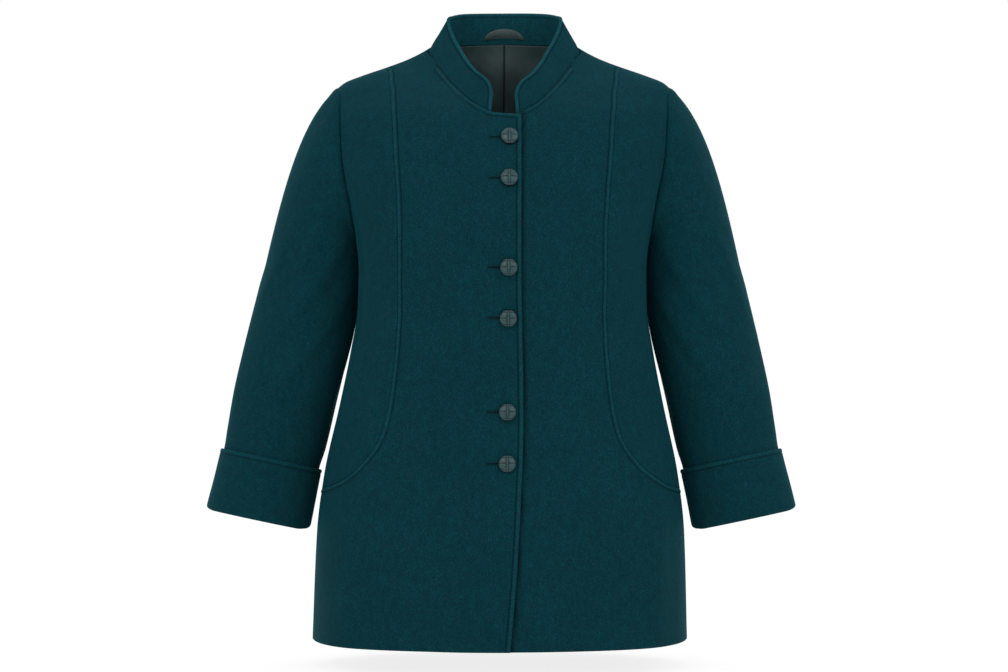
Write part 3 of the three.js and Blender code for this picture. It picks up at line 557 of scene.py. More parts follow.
def spacing(length, start, end, steps):
    """Distances along a line, close together at its ends and even between."""
    start, end = np.array(start, float), np.array(end, float)
    room = 0.9 * length / max(start[-1] + end[-1], 1e-9)
    if room < 1:
        start, end = start * room, end * room
    middle = np.linspace(start[-1], length - end[-1], steps + 1)[1:-1]
    return np.concatenate([start, middle, (length - end)[::-1]])


def resample(grid, start, end, steps):
    """Moves the places of each row of a grid to chosen distances along it."""
    made = []
    for row in grid:
        reached = reach_of(body_point(row[:, 0], row[:, 1]))
        made.append(at_reach(spacing(reached[-1], start, end, steps), reached, row))
    return np.array(made)


def fine_block(block, columns, rows, column_breaks=(), row_breaks=(), factor=6):
    """A block of places with its columns and rows at chosen distances from its edges."""
    grid = finer(block, factor, row_breaks)
    grid = finer(grid.swapaxes(0, 1), factor, column_breaks).swapaxes(0, 1)
    grid = resample(grid, *columns)
    return resample(grid.swapaxes(0, 1), *rows).swapaxes(0, 1)


def panel_blocks(upper, lower, base_last, edges, columns, rows, column_breaks=(), row_breaks=()):
    """The upper block, the part of the lower one under it, and the part under the armhole.

    base_last says that the part under the armhole is at the end of the lower block's rows.
    """
    width = upper.shape[1]
    if base_last:
        under, base, ends = lower[:, :width], lower[:, width - 1 :], (PLAIN, EDGE)
    else:
        under, base, ends = lower[:, -width:], lower[:, : lower.shape[1] - width + 1], (EDGE, PLAIN)
    down = (EDGE, EDGE, rows[1])
    return [
        fine_block(upper, (*edges, columns), (EDGE, PLAIN, rows[0]), column_breaks, row_breaks),
        fine_block(under, (*edges, columns), down),
        fine_block(base, (*ends, UNDERARM_COLUMNS), down),
    ]


# ---------------- sheets, walls and seams

COINCIDENT = 0.004
SAMPLES_APART = 0.3
RIDGE_INSET = 3.0
RIDGE_WIDTH = 1.9
RIDGE_HEIGHT = 0.8
GROOVE_WIDTH = 0.8
INNER_GROOVE = 0.6
# Painted highlight along stitched edges: full up to the first distance, gone at the second.
PAINTED_HIGHLIGHT_FULL = 3.6
PAINTED_HIGHLIGHT_END = 5.6
# Painted shade in the groove of a row of stitches: how dark, and how wide.
PAINTED_GROOVE_SHADE = 0.6
PAINTED_GROOVE_SHADE_WIDTH = 0.9


def quads(numbers, ring=False):
    """Faces between the rows of a grid of point numbers. The rows of a ring close on themselves."""
    before = numbers if ring else numbers[:, :-1]
    after = np.roll(numbers, -1, axis=1) if ring else numbers[:, 1:]
    return np.stack([before[:-1], before[1:], after[1:], after[:-1]], -1).reshape(-1, 4)


def numbered(grid):
    rows, columns = grid.shape[:2]
    return np.arange(rows * columns).reshape(rows, columns)


def weld(blocks):
    """Points and faces of blocks of rows of points. Points that coincide become one."""
    known, points, faces, sources = {}, [], [], []
    for b, block in enumerate(blocks):
        rows, columns = block.shape[:2]
        flat = block.reshape(-1, 3)
        keys = np.round(flat / COINCIDENT).astype(int)
        numbers = np.empty(len(flat), int)
        for i, key in enumerate(map(tuple, keys)):
            if key not in known:
                known[key] = len(points)
                points.append(flat[i])
                sources.append((b, i))
            numbers[i] = known[key]
        faces.append(quads(numbers.reshape(rows, columns)))
    return np.array(points), np.vstack(faces), sources


def border_edges(faces):
    """Edges that only one face has, as ordered pairs."""
    open_edges = {}
    for face in faces:
        corners = [c for i, c in enumerate(face) if c != face[i - 1]]
        for i, end in enumerate(corners):
            start = corners[i - 1]
            if (end, start) in open_edges:
                del open_edges[(end, start)]
            else:
                open_edges[(start, end)] = True
    return list(open_edges)


def samples_of(points, edges):
    """Points close together along edges."""
    made = [points[[start for start, _ in edges]]]
    for start, end in edges:
        steps = int(np.linalg.norm(points[end] - points[start]) / SAMPLES_APART)
        if steps > 1:
            t = np.linspace(0, 1, steps + 1)[1:-1, None]
            made.append(points[start] * (1 - t) + points[end] * t)
    return np.vstack(made)


def nearest_tree(samples):
    tree = KDTree(len(samples))
    for i, sample in enumerate(samples):
        tree.insert(sample, i)
    tree.balance()
    return tree


def distances(points, samples):
    tree = nearest_tree(samples)
    return np.array([tree.find(point)[2] for point in points])


def rolled(distance, radius):
    """How far a rounded edge falls away at a distance from it."""
    near = np.clip(1 - distance / radius, 0, 1)
    return radius * (1 - np.sqrt(1 - near**2))


def stitched_form(distance):
    """The ridge and the groove that a row of stitches gives to cloth along its edge."""
    ridge = RIDGE_HEIGHT * bell(distance, RIDGE_INSET, RIDGE_WIDTH)
    return ridge - bell(distance, STITCH_INSET, GROOVE_WIDTH)


def stitched_groove(distance):
    """The shallower groove that the stitches give to the inside."""
    return INNER_GROOVE * bell(distance, STITCH_INSET, GROOVE_WIDTH)


def edge_painted_light(distance, strength):
    """Painted light along an edge: a painted highlight on a band next to it, and painted shade in the
    groove of its stitches.
    """
    # The first is a painted highlight along the edge, the second painted shade in the stitches' groove.
    raised = smoothstep(PAINTED_HIGHLIGHT_END, PAINTED_HIGHLIGHT_FULL, distance) * strength
    painted_shade = PAINTED_GROOVE_SHADE * bell(distance, STITCH_INSET, PAINTED_GROOVE_SHADE_WIDTH)
    return {"raised": raised, "painted_shade": painted_shade}


def shade(made, shades):
    """Keeps values for the material on the first points of a mesh, and 0 on its others."""
    for name, values in shades.items():
        attribute = made.data.attributes.new(name, "FLOAT", "POINT")
        everywhere = np.zeros(len(made.data.vertices), np.float32)
        everywhere[: values.size] = values.ravel()
        attribute.data.foreach_set("value", everywhere)


def mean_normals(points, faces):
    a, b, c, d = (points[faces[:, k]] for k in range(4))
    across = np.cross(c - a, d - b)
    normals = np.zeros_like(points)
    for k in range(4):
        np.add.at(normals, faces[:, k], across)
    return unit(normals)


def mesh_object(name, points, faces, look, smooth=True):
    """A mesh in metres, from points in millimetres. Faces with a repeated corner lose it."""
    mesh = bpy.data.meshes.new(name)
    lean = []
    for face in faces:
        corners = [int(c) for i, c in enumerate(face) if c != face[i - 1]]
        if len(corners) > 2 and len(set(corners)) == len(corners):
            lean.append(corners)
    mesh.from_pydata((np.asarray(points) * MM).tolist(), [], lean)
    mesh.polygons.foreach_set("use_smooth", [smooth] * len(mesh.polygons))
    mesh.materials.append(look)
    mesh.validate()
    made = bpy.data.objects.new(name, mesh)
    bpy.context.collection.objects.link(made)
    return made


def volume_sign(points, faces):
    a, b, c, d = (points[faces[:, k]] for k in range(4))
    return np.sign((a * np.cross(b, c)).sum() + (a * np.cross(c, d)).sum())


def closed(name, outer, inner, faces, look):
    """A closed mesh of an outer and an inner face, numbered alike and joined along their border."""
    points = np.vstack([outer.reshape(-1, 3), inner.reshape(-1, 3)])
    count = len(points) // 2
    rim = [(end, start, start + count, end + count) for start, end in border_edges(faces)]
    shell = np.vstack([faces, faces[:, ::-1] + count, rim])
    if volume_sign(points, shell) < 0:
        shell = shell[:, ::-1]
    return mesh_object(name, points, shell, look)


def wall(name, sheet, thickness, look, lift=0):
    """A wall of cloth behind a sheet, with its rim rounded. lift moves its outer face."""
    fall = rolled(distances(sheet.points, samples_of(sheet.points, sheet.edges)), thickness / 2)
    outer = lifted(sheet.points, sheet.normals, lift - fall)
    inner = lifted(sheet.points, sheet.normals, fall - thickness)
    return closed(f"{name}_cloth", outer, inner, sheet.faces, look), outer


class Sheet:
    """A fine sheet of the body's cloth, laid from blocks of (angle, height) places."""

    def __init__(self, blocks, lift=None):
        laid = []
        for places in blocks:
            angle, z = places[..., 0], places[..., 1]
            point = body_point(angle, z)
            normal = body_normal(angle, z)
            rise = body_rise(angle, z)
            if lift is not None:
                rise = rise + lift(point)
            laid.append((lifted(point, normal, rise), normal))
        self.points, self.faces, sources = weld([point for point, _ in laid])
        flat = [normal.reshape(-1, 3) for _, normal in laid]
        self.normals = np.array([flat[b][i] for b, i in sources])
        if (mean_normals(self.points, self.faces) * self.normals).sum() < 0:
            self.faces = self.faces[:, ::-1]
        self.edges = border_edges(self.faces)

    def border_near(self, chosen):
        """Border edges whose middle is chosen by a test on points."""
        middle = [(self.points[a] + self.points[b]) / 2 for a, b in self.edges]
        keep = chosen(np.array(middle))
        return [edge for edge, kept in zip(self.edges, keep) if kept]


# ---------------- looks


def srgb(red, green, blue):
    def linear(value):
        value /= 255
        return value / 12.92 if value <= 0.04045 else ((value + 0.055) / 1.055) ** 2.4

    return (linear(red), linear(green), linear(blue), 1.0)


class Look:
    """A material and short ways to add nodes to it."""

    def __init__(self, name):
        self.material = bpy.data.materials.new(name)
        self.material.use_nodes = True
        self.tree = self.material.node_tree
        self.shader = self.tree.nodes["Principled BSDF"]
        place = self.add("ShaderNodeTexCoord")
        self.place = place.outputs["Object"]

    def add(self, kind, **values):
        node = self.tree.nodes.new(kind)
        for key, value in values.items():
            if key in node.inputs:
                node.inputs[key].default_value = value
            else:
                setattr(node, key, value)
        return node

    def link(self, source, target):
        self.tree.links.new(source, target)

    def set(self, **values):
        for key, value in values.items():
            self.shader.inputs[key.replace("_", " ")].default_value = value

    def noise(self, scale, detail=2.0, roughness=0.5, stretch=None):
        node = self.add("ShaderNodeTexNoise", Scale=scale, Detail=detail, Roughness=roughness)
        source = self.place
        if stretch:
            mapping = self.add("ShaderNodeMapping", Scale=stretch)
            self.link(source, mapping.inputs["Vector"])
            source = mapping.outputs["Vector"]
        self.link(source, node.inputs["Vector"])
        return node.outputs["Fac"]

    def ramp(self, source, *stops):
        node = self.add("ShaderNodeValToRGB")
        elements = node.color_ramp.elements
        while len(elements) < len(stops):
            elements.new(0.5)
        for element, (position, colour) in zip(elements, stops):
            element.position = position
            element.color = colour
        self.link(source, node.inputs["Fac"])
        return node.outputs["Color"]

    def mix(self, factor, first, second, blend="MIX"):
        node = self.add("ShaderNodeMix", data_type="RGBA", blend_type=blend)
        for value, socket in ((factor, node.inputs[0]), (first, node.inputs[6]), (second, node.inputs[7])):
            if isinstance(value, bpy.types.NodeSocket):
                self.link(value, socket)
            else:
                socket.default_value = value
        return node.outputs[2]

    def bump(self, *layers):
        before = None
        for source, strength, depth in layers:
            node = self.add("ShaderNodeBump", Strength=strength, Distance=depth)
            self.link(source, node.inputs["Height"])
            if before is not None:
                self.link(before, node.inputs["Normal"])
            before = node.outputs["Normal"]
        self.link(before, self.shader.inputs["Normal"])


def wool_look():
    look = Look("wool melton")
    broad = look.noise(9, 3, 0.55)
    cloud = look.noise(120, 3, 0.6, (1, 1, 0.6))
    fibre = look.noise(900, 4, 0.7, (1, 1, 0.45))
    fuzz = look.noise(2600, 2, 0.6)
    base = look.ramp(fibre, (0.3, srgb(2, 33, 39)), (0.52, srgb(4, 44, 51)), (0.78, srgb(10, 66, 74)))
    cloudy = look.ramp(cloud, (0.3, (0.72, 0.72, 0.74, 1)), (0.7, (1.16, 1.16, 1.14, 1)))
    worn = look.ramp(broad, (0.3, (0.86, 0.86, 0.88, 1)), (0.7, (1.1, 1.1, 1.08, 1)))
    base = look.mix(0.5, base, cloudy, "MULTIPLY")
    base = look.mix(0.5, base, worn, "MULTIPLY")
    # Painted light on the wool: the first attribute lightens it as a painted highlight along stitched
    # edges and inside the collar, the second darkens it as painted shade in stitch grooves and beside the
    # lap's edge.
    raised = look.add("ShaderNodeAttribute", attribute_name="raised")
    painted_shade = look.add("ShaderNodeAttribute", attribute_name="painted_shade")
    base = look.mix(raised.outputs["Fac"], base, look.mix(1.0, base, (3.6, 1.9, 1.85, 1), "MULTIPLY"))
    base = look.mix(painted_shade.outputs["Fac"], base, look.mix(1.0, base, (0.12, 0.16, 0.2, 1), "MULTIPLY"))
    look.link(base, look.shader.inputs["Base Color"])
    look.set(
        Roughness=0.92,
        Specular_IOR_Level=0.06,
        Sheen_Weight=0.2,
        Sheen_Roughness=0.42,
        Sheen_Tint=srgb(22, 139, 153),
    )
    look.bump((cloud, 0.25, 0.0006), (fibre, 0.5, 0.0004), (fuzz, 0.35, 0.0002))
    return look.material


def thread_look():
    look = Look("wool thread")
    twist = look.noise(1500, 2, 0.5)
    base = look.ramp(twist, (0.3, srgb(3, 32, 38)), (0.7, srgb(7, 50, 57)))
    look.link(base, look.shader.inputs["Base Color"])
    look.set(Roughness=0.8, Specular_IOR_Level=0.08)
    return look.material


def satin_look():
    look = Look("lining satin")
    cloud = look.noise(26, 3, 0.5)
    weave = look.noise(2200, 2, 0.5, (1, 1, 0.25))
    base = look.ramp(cloud, (0.35, srgb(40, 58, 58)), (0.7, srgb(57, 76, 77)))
    # Painted shade, nearly black, along the fold of the centre seam and over the hanger loop.
    seam = look.add("ShaderNodeAttribute", attribute_name="painted_shade")
    base = look.mix(seam.outputs["Fac"], base, srgb(8, 12, 13))
    look.link(base, look.shader.inputs["Base Color"])
    look.set(Roughness=0.42, Specular_IOR_Level=0.4, Sheen_Weight=0.1)
    look.bump((cloud, 0.3, 0.002), (weave, 0.2, 0.00015))
    return look.material


def leather_look():
    look = Look("woven leather")
    grain = look.noise(1700, 3, 0.6)
    cloud = look.noise(260, 2, 0.5)
    # Painted shade: nearly black in the grooves of the plait and round the dome's rim.
    depth = look.add("ShaderNodeAttribute", attribute_name="depth")
    base = look.ramp(cloud, (0.3, srgb(23, 52, 55)), (0.7, srgb(33, 67, 70)))
    base = look.mix(depth.outputs["Fac"], srgb(4, 9, 10), base)
    look.link(base, look.shader.inputs["Base Color"])
    look.set(Roughness=0.34, Specular_IOR_Level=0.3)
    look.bump((grain, 0.25, 0.00012))
    return look.material


WOOL, THREAD, SATIN, LEATHER = wool_look(), thread_look(), satin_look(), leather_look()
pieces = {}


def settle(piece, slot, *nodes, name=None):
    """Sets a piece on the coat and shows it instead of the plain nodes."""
    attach(piece, "root")
    if nodes:
        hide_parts(*nodes)
    pieces[name or piece.name] = piece


# ---------------- stitches

STITCH_LENGTH = 2.9
STITCH_PITCH = 3.7
STITCH_START = 0.3
THREAD_RADIUS = 0.3
THREAD_SINK = 0.12
THREAD_BOW = 0.22
THREAD_END = 0.45
THREAD_SIDES = 6
THREAD_RINGS = 5
SPOTS_APART = 1.2
STITCH_SLACK = 0.7


class Threads:
    """Short lengths of thread, gathered into one piece."""

    def __init__(self):
        self.points, self.faces = [], []

    def add(self, start, end, normal, radius=THREAD_RADIUS, bow=THREAD_BOW):
        axis = unit(end - start)
        normal = unit(normal - axis * (normal @ axis))
        aside = np.cross(axis, normal)
        first = len(self.points)
        for t in np.linspace(0, 1, THREAD_RINGS):
            arch = math.sin(HALF_TURN * t)
            centre = start * (1 - t) + end * t + normal * (bow * arch - THREAD_SINK)
            thick = radius * (THREAD_END + (1 - THREAD_END) * max(arch, 0) ** 0.5)
            for k in range(THREAD_SIDES):
                turn = 2 * HALF_TURN * k / THREAD_SIDES
                self.points.append(centre + thick * (aside * math.cos(turn) + normal * math.sin(turn)))
        numbers = first + np.arange(THREAD_RINGS * THREAD_SIDES).reshape(THREAD_RINGS, THREAD_SIDES)
        self.faces.extend(quads(numbers, ring=True)[:, [0, 3, 2, 1]])
        a, b, c, d, e, f = numbers[0]
        self.faces.extend([(a, b, c, d), (a, d, e, f)])
        a, b, c, d, e, f = numbers[-1]
        self.faces.extend([(d, c, b, a), (f, e, d, a)])

    def run(self, path, normals):
        """A row of stitches along a path."""
        for i in range(int(reach_of(path)[-1] / STITCH_PITCH)):
            begin = i * STITCH_PITCH
            start, end = along(path, [begin + STITCH_START, begin + STITCH_START + STITCH_LENGTH])
            normal = along(np.hstack([path, normals]), [begin + STITCH_LENGTH / 2])[0, 3:]
            self.add(start, end, unit(normal))

    def piece(self, name):
        settle(mesh_object(name, np.array(self.points), np.array(self.faces), THREAD), "wool")


def chained(edges):
    """Ordered lines of point numbers from edges that follow each other."""
    following = dict(edges)
    starts = [a for a in following if a not in set(following.values())] or [next(iter(following))]
    lines = []
    for start in starts:
        line = [start]
        while line[-1] in following and following[line[-1]] != start:
            line.append(following.pop(line[-1]))
        lines.append(line)
    return lines


def stitch_border(threads, surface, outer, sheet, edges, samples):
    """Rows of stitches on the outer face of a sheet, inside lines of its border."""
    tree = nearest_tree(samples)
    for line in chained(edges):
        rim = outer[line]
        reached = reach_of(rim)
        wanted = np.arange(0, reached[-1], SPOTS_APART)
        spots = at_reach(wanted, reached, rim)
        outward = unit(at_reach(wanted, reached, sheet.normals[line]))
        inward = np.cross(outward, unit(np.gradient(spots, axis=0)))
        path, up = [], []
        for spot in spots + inward * STITCH_INSET:
            place, normal = surface.find_nearest(spot)[:2]
            if tree.find(place)[2] > STITCH_INSET - STITCH_SLACK:
                path.append(place)
                up.append(normal)
        threads.run(np.array(path), np.array(up))


# ---------------- fronts, sides and back


def lap_lift(point):
    """How far the lapped front stands off the body's surface."""
    return LAP_LIFT * smoothstep(LAP_LIFT_START_X, LAP_LIFT_END_X, point[..., 0])


def lap_edge_at(z):
    return read(LAP_EDGE, "z", "x", z)


def underlap_edge_at(z):
    return np.full_like(np.asarray(z, float), UNDERLAP_EDGE_X)


# How strong the painted highlight along the fronts' stitched edges is.
SEAM_PAINTED_HIGHLIGHT = 0.38
PAINTED_LAP_SHADOW = 0.75
# Where the lap's edge casts a painted shadow on the front under it, and how widely.
LAP_SHADOW = (1.5, 2.8)
COLLAR_END_X = 16.0
HEM_NEAR = 1.0
SIDE_SEAM_NEAR = 6.0
UNSTITCHED_ABOVE_Z = -30.0


def is_stitched(middle):
    """Which places of a front's border are stitched: not its hem, side seam or shoulder."""
    z = middle[:, 2]
    at_hem = z < HEM_Z + HEM_NEAR
    at_side = (np.abs(middle[:, 1]) < SIDE_SEAM_NEAR) & (z < HIP_END_Z)
    return ~(at_hem | at_side | (z > UNSTITCHED_ABOVE_Z))


def front_panel(name, side, edge_at, top_z, lift, threads):
    """A front with its stitched seams and edges, and the surface of its outer face."""
    upper, hip, centre = front_blocks(side, edge_at, top_z)
    neck_breaks = (SHOULDER_STEPS, SHOULDER_STEPS + NECK_STEPS)
    columns, rows = FRONT_GRID
    across = (STITCHED, STITCHED, columns)
    down = (STITCHED, EDGE, rows[1])
    blocks = [
        fine_block(upper, across, (STITCHED, PLAIN, rows[0]), neck_breaks, (1,)),
        fine_block(hip, (EDGE, PLAIN, HIP_COLUMNS), down),
        fine_block(centre, across, down),
    ]
    sheet = Sheet(blocks, lift)
    edges = sheet.border_near(is_stitched)
    if side == LEFT:
        edges = [edge for edge in edges if sheet.points[edge[0]][0] > COLLAR_END_X]
    samples = samples_of(sheet.points, edges)
    away = distances(sheet.points, samples)
    made, outer = wall(name, sheet, CLOTH, WOOL, stitched_form(away))
    shades = edge_painted_light(away, SEAM_PAINTED_HIGHLIGHT)
    if side == LEFT:
        # Painted shadow of the lap's edge on the front under it.
        beside = sheet.points[:, 0] - lap_edge_at(sheet.points[:, 2])
        under = PAINTED_LAP_SHADOW * bell(beside, *LAP_SHADOW)
        shades["painted_shade"] = np.maximum(shades["painted_shade"], under)
    shade(made, shades)
    settle(made, "wool", name, name=name)
    surface = BVHTree.FromPolygons(outer.tolist(), sheet.faces.tolist())
    stitch_border(threads, surface, outer, sheet, edges, samples)
    return made, surface


def plain_panel(name, blocks):
    made, _ = wall(name, Sheet(blocks), CLOTH, WOOL)
    settle(made, "wool", name, name=name)


front_stitches = Threads()
front_right, right_surface = front_panel(
    "front_right", RIGHT, lap_edge_at, LAP_TOP_Z, lap_lift, front_stitches
)
front_panel("front_left", LEFT, underlap_edge_at, UNDERLAP_TOP_Z, None, front_stitches)
front_stitches.piece("front_topstitching")

for side, side_name in ((RIGHT, "right"), (LEFT, "left")):
    upper, lower = side_front_blocks(side)
    blocks = panel_blocks(upper, lower, True, (EDGE, EDGE), *SIDE_GRID, row_breaks=(1,))
    plain_panel(f"side_front_{side_name}", blocks)

back_upper, back_lower = back_blocks()


def half(block, side):
    middle = (block.shape[1] - 1) // 2
    return block[:, : middle + 1] if side == LEFT else block[:, middle:]


def half_back(side, last_row, edges, columns, rows):
    """Fine blocks of one side of the back, down to a row of its lower block."""
    upper, lower = half(back_upper, side), half(back_lower[:last_row], side)
    neck_end = BACK_SHOULDER_STEPS if side == LEFT else upper.shape[1] - 1 - BACK_SHOULDER_STEPS
    return panel_blocks(upper, lower, side == RIGHT, edges, columns, rows, (neck_end,))


for side, side_name in ((RIGHT, "right"), (LEFT, "left")):
    plain_panel(f"back_{side_name}", half_back(side, None, (EDGE, EDGE), *BACK_GRID))

# ---------------- lining

LINING_DEPTH = CLOTH + 0.6
# Wrinkles of the lining under the collar: (x, z) of both ends, width and height.
WRINKLES = table(
    ("x1", "z1", "x2", "z2", "width", "height"),
    [
        (-66, -14, -22, -46, 5.0, 1.6),
        (-52, -8, -14, -30, 4.0, 1.2),
        (-44, -34, -10, -74, 6.0, 1.3),
        (58, -12, 20, -40, 5.0, 1.3),
        (40, -30, 12, -70, 6.0, 1.1),
        (70, -40, 34, -92, 8.0, 1.4),
        (-74, -44, -40, -100, 8.0, 1.4),
        (-6, -20, -12, -110, 5.0, 0.9),
        (14, -26, 10, -120, 6.0, 0.9),
    ],
)


def lining_form(sheet):
    """Wrinkles and the folded centre seam of the lining, along its normals."""
    x, z = sheet.points[:, 0], sheet.points[:, 2]
    form = 1.1 * bell(x, -1.3, 1.1) - 0.9 * bell(x, 0, 0.7)
    for i in range(len(WRINKLES["width"])):
        start = np.array([WRINKLES["x1"][i], WRINKLES["z1"][i]])
        end = np.array([WRINKLES["x2"][i], WRINKLES["z2"][i]])
        run = end - start
        place = np.stack([x, z], 1) - start
        share = place @ run / (run @ run)
        aside = (place[:, 0] * run[1] - place[:, 1] * run[0]) / np.linalg.norm(run)
        fade = smoothstep(-0.2, 0.25, share) * smoothstep(1.2, 0.7, share)
        form = form - WRINKLES["height"][i] * fade * bell(aside, 0, WRINKLES["width"][i])
    return np.minimum(form, 0.4) - 0.2


CENTRE_SEAM = (0, 0.4, 0.8, 1.2, 1.7, 2.3, 3.2, 4.5, 6.5)
lining_blocks = [
    *half_back(LEFT, -1, (EDGE, CENTRE_SEAM), *LINING_GRID),
    *half_back(RIGHT, -1, (CENTRE_SEAM, EDGE), *LINING_GRID),
]
lining = Sheet(lining_blocks, lambda point: np.full(point.shape[:-1], -LINING_DEPTH))
lining.points = lifted(lining.points, lining.normals, lining_form(lining))
lining_made, _ = wall("lining_back", lining, LINING, SATIN)
# Painted shade along the fold of the centre seam, on both faces.
shade(lining_made, {"painted_shade": np.tile(bell(lining.points[:, 0], 0, 1.3), 2)})
settle(lining_made, "lining", "lining_back", name="lining_back")

# ---------------- sleeves and cuffs

UPPER_ARM_Z = float(SLEEVE["z"][0])
WRIST_Z = float(SLEEVE["z"][-1])
CUFF_TOP_Z = WRIST_Z + CUFF_HEIGHT
# The way the cap leaves the armhole seam, and the handles of its curve at the shoulder and the underarm.
CAP_LEAVE_TOP = np.array([0.8, 0, -0.6])
CAP_LEAVE_BASE = np.array([1.0, 0, 0])
CAP_LEAVE_FORWARD = 0.4
CAP_FIRST_HANDLE = (54.0, 2.0)
CAP_LAST_HANDLE = (118.0, 28.0)
SLEEVE_ROLL = 2.2
# How far a sleeve's end is drawn up at its outer and its inner corner, and how far up this reaches.
CORNER_RISE = (4.5, 7.5)
CORNER_START = 0.8
CORNER_REACH = 45.0
# The cuffs' stitched ridge and their painted highlight are fainter than the seams'.
CUFF_RIDGE = 0.5
CUFF_PAINTED_HIGHLIGHT = 0.28
# The sleeve's rim presses into the armhole's, so that no light comes through.
RIM_OVERLAP = 0.8
COLUMNS_AROUND = 132
CAP_ROWS = 25
ARM_ROWS = 45
SLEEVE_ROWS = 110
CUFF_ROWS = 30
CUFF_PLAIN_ROWS = 18
SLEEVE_REACH = 64.0
FOLD_END = 40.0
CAP_FULLNESS = 1.3
# Where the cap is fullest, from its seam, and how widely.
FULLNESS_PLACE = (7.0, 6.0)
# The share of the folds that the inside of a sleeve shows.
INNER_FOLDS = 0.8


def sleeve_centre(z, side):
    x, y = at_level(SLEEVE, z, "x", "y")
    return np.stack([side * x, y, np.asarray(z, float)], -1)


def sleeve_axes(side):
    axis = unit(sleeve_centre(WRIST_Z, side) - sleeve_centre(UPPER_ARM_Z, side))
    outward = unit(np.array([side, 0, 0]) - axis * side * axis[0])
    return axis, outward, unit(np.cross(axis, outward) * side)


def sleeve_ring(z, turns, side, lift=0.0):
    axis, outward, forward = sleeve_axes(side)
    half_width, half_depth = at_level(SLEEVE, z, "half_width", "half_depth")
    return (
        sleeve_centre(z, side)
        + (half_width + lift) * np.cos(turns)[:, None] * outward
        + (half_depth + lift) * np.sin(turns)[:, None] * forward
    )


def sleeve_cap_line(turn, side, t):
    """Points of the sleeve's cap from the armhole seam to the upper arm."""
    place = on_armhole(turn, side)
    start = lifted(body_point(*place), body_normal(*place), body_rise(*place))
    low = (1 - math.cos(turn)) / 2
    leave = CAP_LEAVE_TOP * (1 - low) + CAP_LEAVE_BASE * low
    leave = unit(np.array([side * leave[0], -CAP_LEAVE_FORWARD * math.sin(turn), leave[2]]))
    end = sleeve_ring(UPPER_ARM_Z, np.array([turn]), side)[0]
    first, last = (a * (1 - low) + b * low for a, b in (CAP_FIRST_HANDLE, CAP_LAST_HANDLE))
    start = start - leave * RIM_OVERLAP
    b, c = start + leave * first, end - sleeve_axes(side)[0] * last
    t = t[:, None]
    return (1 - t) ** 3 * start + 3 * (1 - t) ** 2 * t * b + 3 * (1 - t) * t**2 * c + t**3 * end


def even_turns(count):
    """Turns round the armhole, the same distance apart."""
    turns = np.linspace(0, 2 * HALF_TURN, 721)
    places = on_armhole(turns, LEFT)
    reached = reach_of(body_point(places[:, 0], places[:, 1]))
    return np.interp(np.linspace(0, reached[-1], count + 1)[:-1], reached, turns)


def ring_normals(grid, side):
    """Normals of a tube's grid whose rows are closed rings, facing out of the tube."""
    round_it = np.roll(grid, -1, axis=1) - np.roll(grid, 1, axis=1)
    down = np.gradient(grid, axis=0)
    normals = unit(np.cross(round_it, down))
    middle = grid.mean(1, keepdims=True)
    if ((grid - middle) * normals).sum() < 0:
        normals = -normals
    return normals


def tube(name, outer, inner, look):
    """A closed wall between two grids of rings that meet at both ends."""
    return closed(f"{name}_cloth", outer, inner, quads(numbered(outer), ring=True), look)


def down_columns(grid):
    """Distance down each column of a grid, at each of its points."""
    return np.stack([reach_of(grid[:, c]) for c in range(grid.shape[1])], 1)


def respaced(grid, start, end, steps):
    """Moves the points of each column of a grid to chosen distances along it."""
    columns = (grid[:, c] for c in range(grid.shape[1]))
    return np.stack([along(line, spacing(reach_of(line)[-1], start, end, steps)) for line in columns], 1)


def end_rise(turns, from_end):
    """How far the sleeve's end is drawn up at its outer and inner corners, which round it off."""
    corner = np.where(np.cos(turns) > 0, CORNER_RISE[0], CORNER_RISE[1])
    near = np.clip((np.abs(np.cos(turns)) - CORNER_START) / (1 - CORNER_START), 0, 0.99)
    return corner * (1 - np.sqrt(1 - near**2)) * smoothstep(CORNER_REACH, 0, from_end)


def draw_up(grid, turns, side):
    rise = end_rise(turns, down_columns(grid[::-1])[::-1])
    return grid - sleeve_axes(side)[0] * rise[..., None]


def sleeve(side, name):
    turns = even_turns(COLUMNS_AROUND)
    t = np.linspace(0, 1, CAP_ROWS)
    cap = np.stack([sleeve_cap_line(turn, side, t) for turn in turns], 1)
    levels = np.linspace(UPPER_ARM_Z, WRIST_Z, ARM_ROWS)[1:]
    grid = np.concatenate([cap, [sleeve_ring(z, turns, side) for z in levels]])
    grid = respaced(draw_up(grid, turns, side), EDGE, EDGE, SLEEVE_ROWS)
    normals = ring_normals(grid, side)
    lean = np.broadcast_to(turns, grid.shape[:2])
    facing = np.where(lean > HALF_TURN, lean - 2 * HALF_TURN, lean)
    z = grid[..., 2]
    from_top = down_columns(grid)
    from_end = from_top[-1] - from_top
    rise = folds(SLEEVE_FOLDS, facing, z, SLEEVE_REACH)
    rise = rise * smoothstep(CUFF_TOP_Z, CUFF_TOP_Z + FOLD_END, z) * smoothstep(0, FOLD_END, from_top)
    full = CAP_FULLNESS * bell(from_top, *FULLNESS_PLACE) * smoothstep(0, 3, from_top)
    fall = rolled(np.minimum(from_top * CLOTH / 2 / SLEEVE_ROLL, from_end), CLOTH / 2)
    outer = lifted(grid, normals, rise + full - fall)
    inner = lifted(grid, normals, rise * INNER_FOLDS - CLOTH + fall)
    nodes = [name.replace("sleeve", f"sleeve_{part}") for part in ("upper", "under")]
    settle(tube(name, outer, inner, WOOL), "wool", *nodes, name=name)


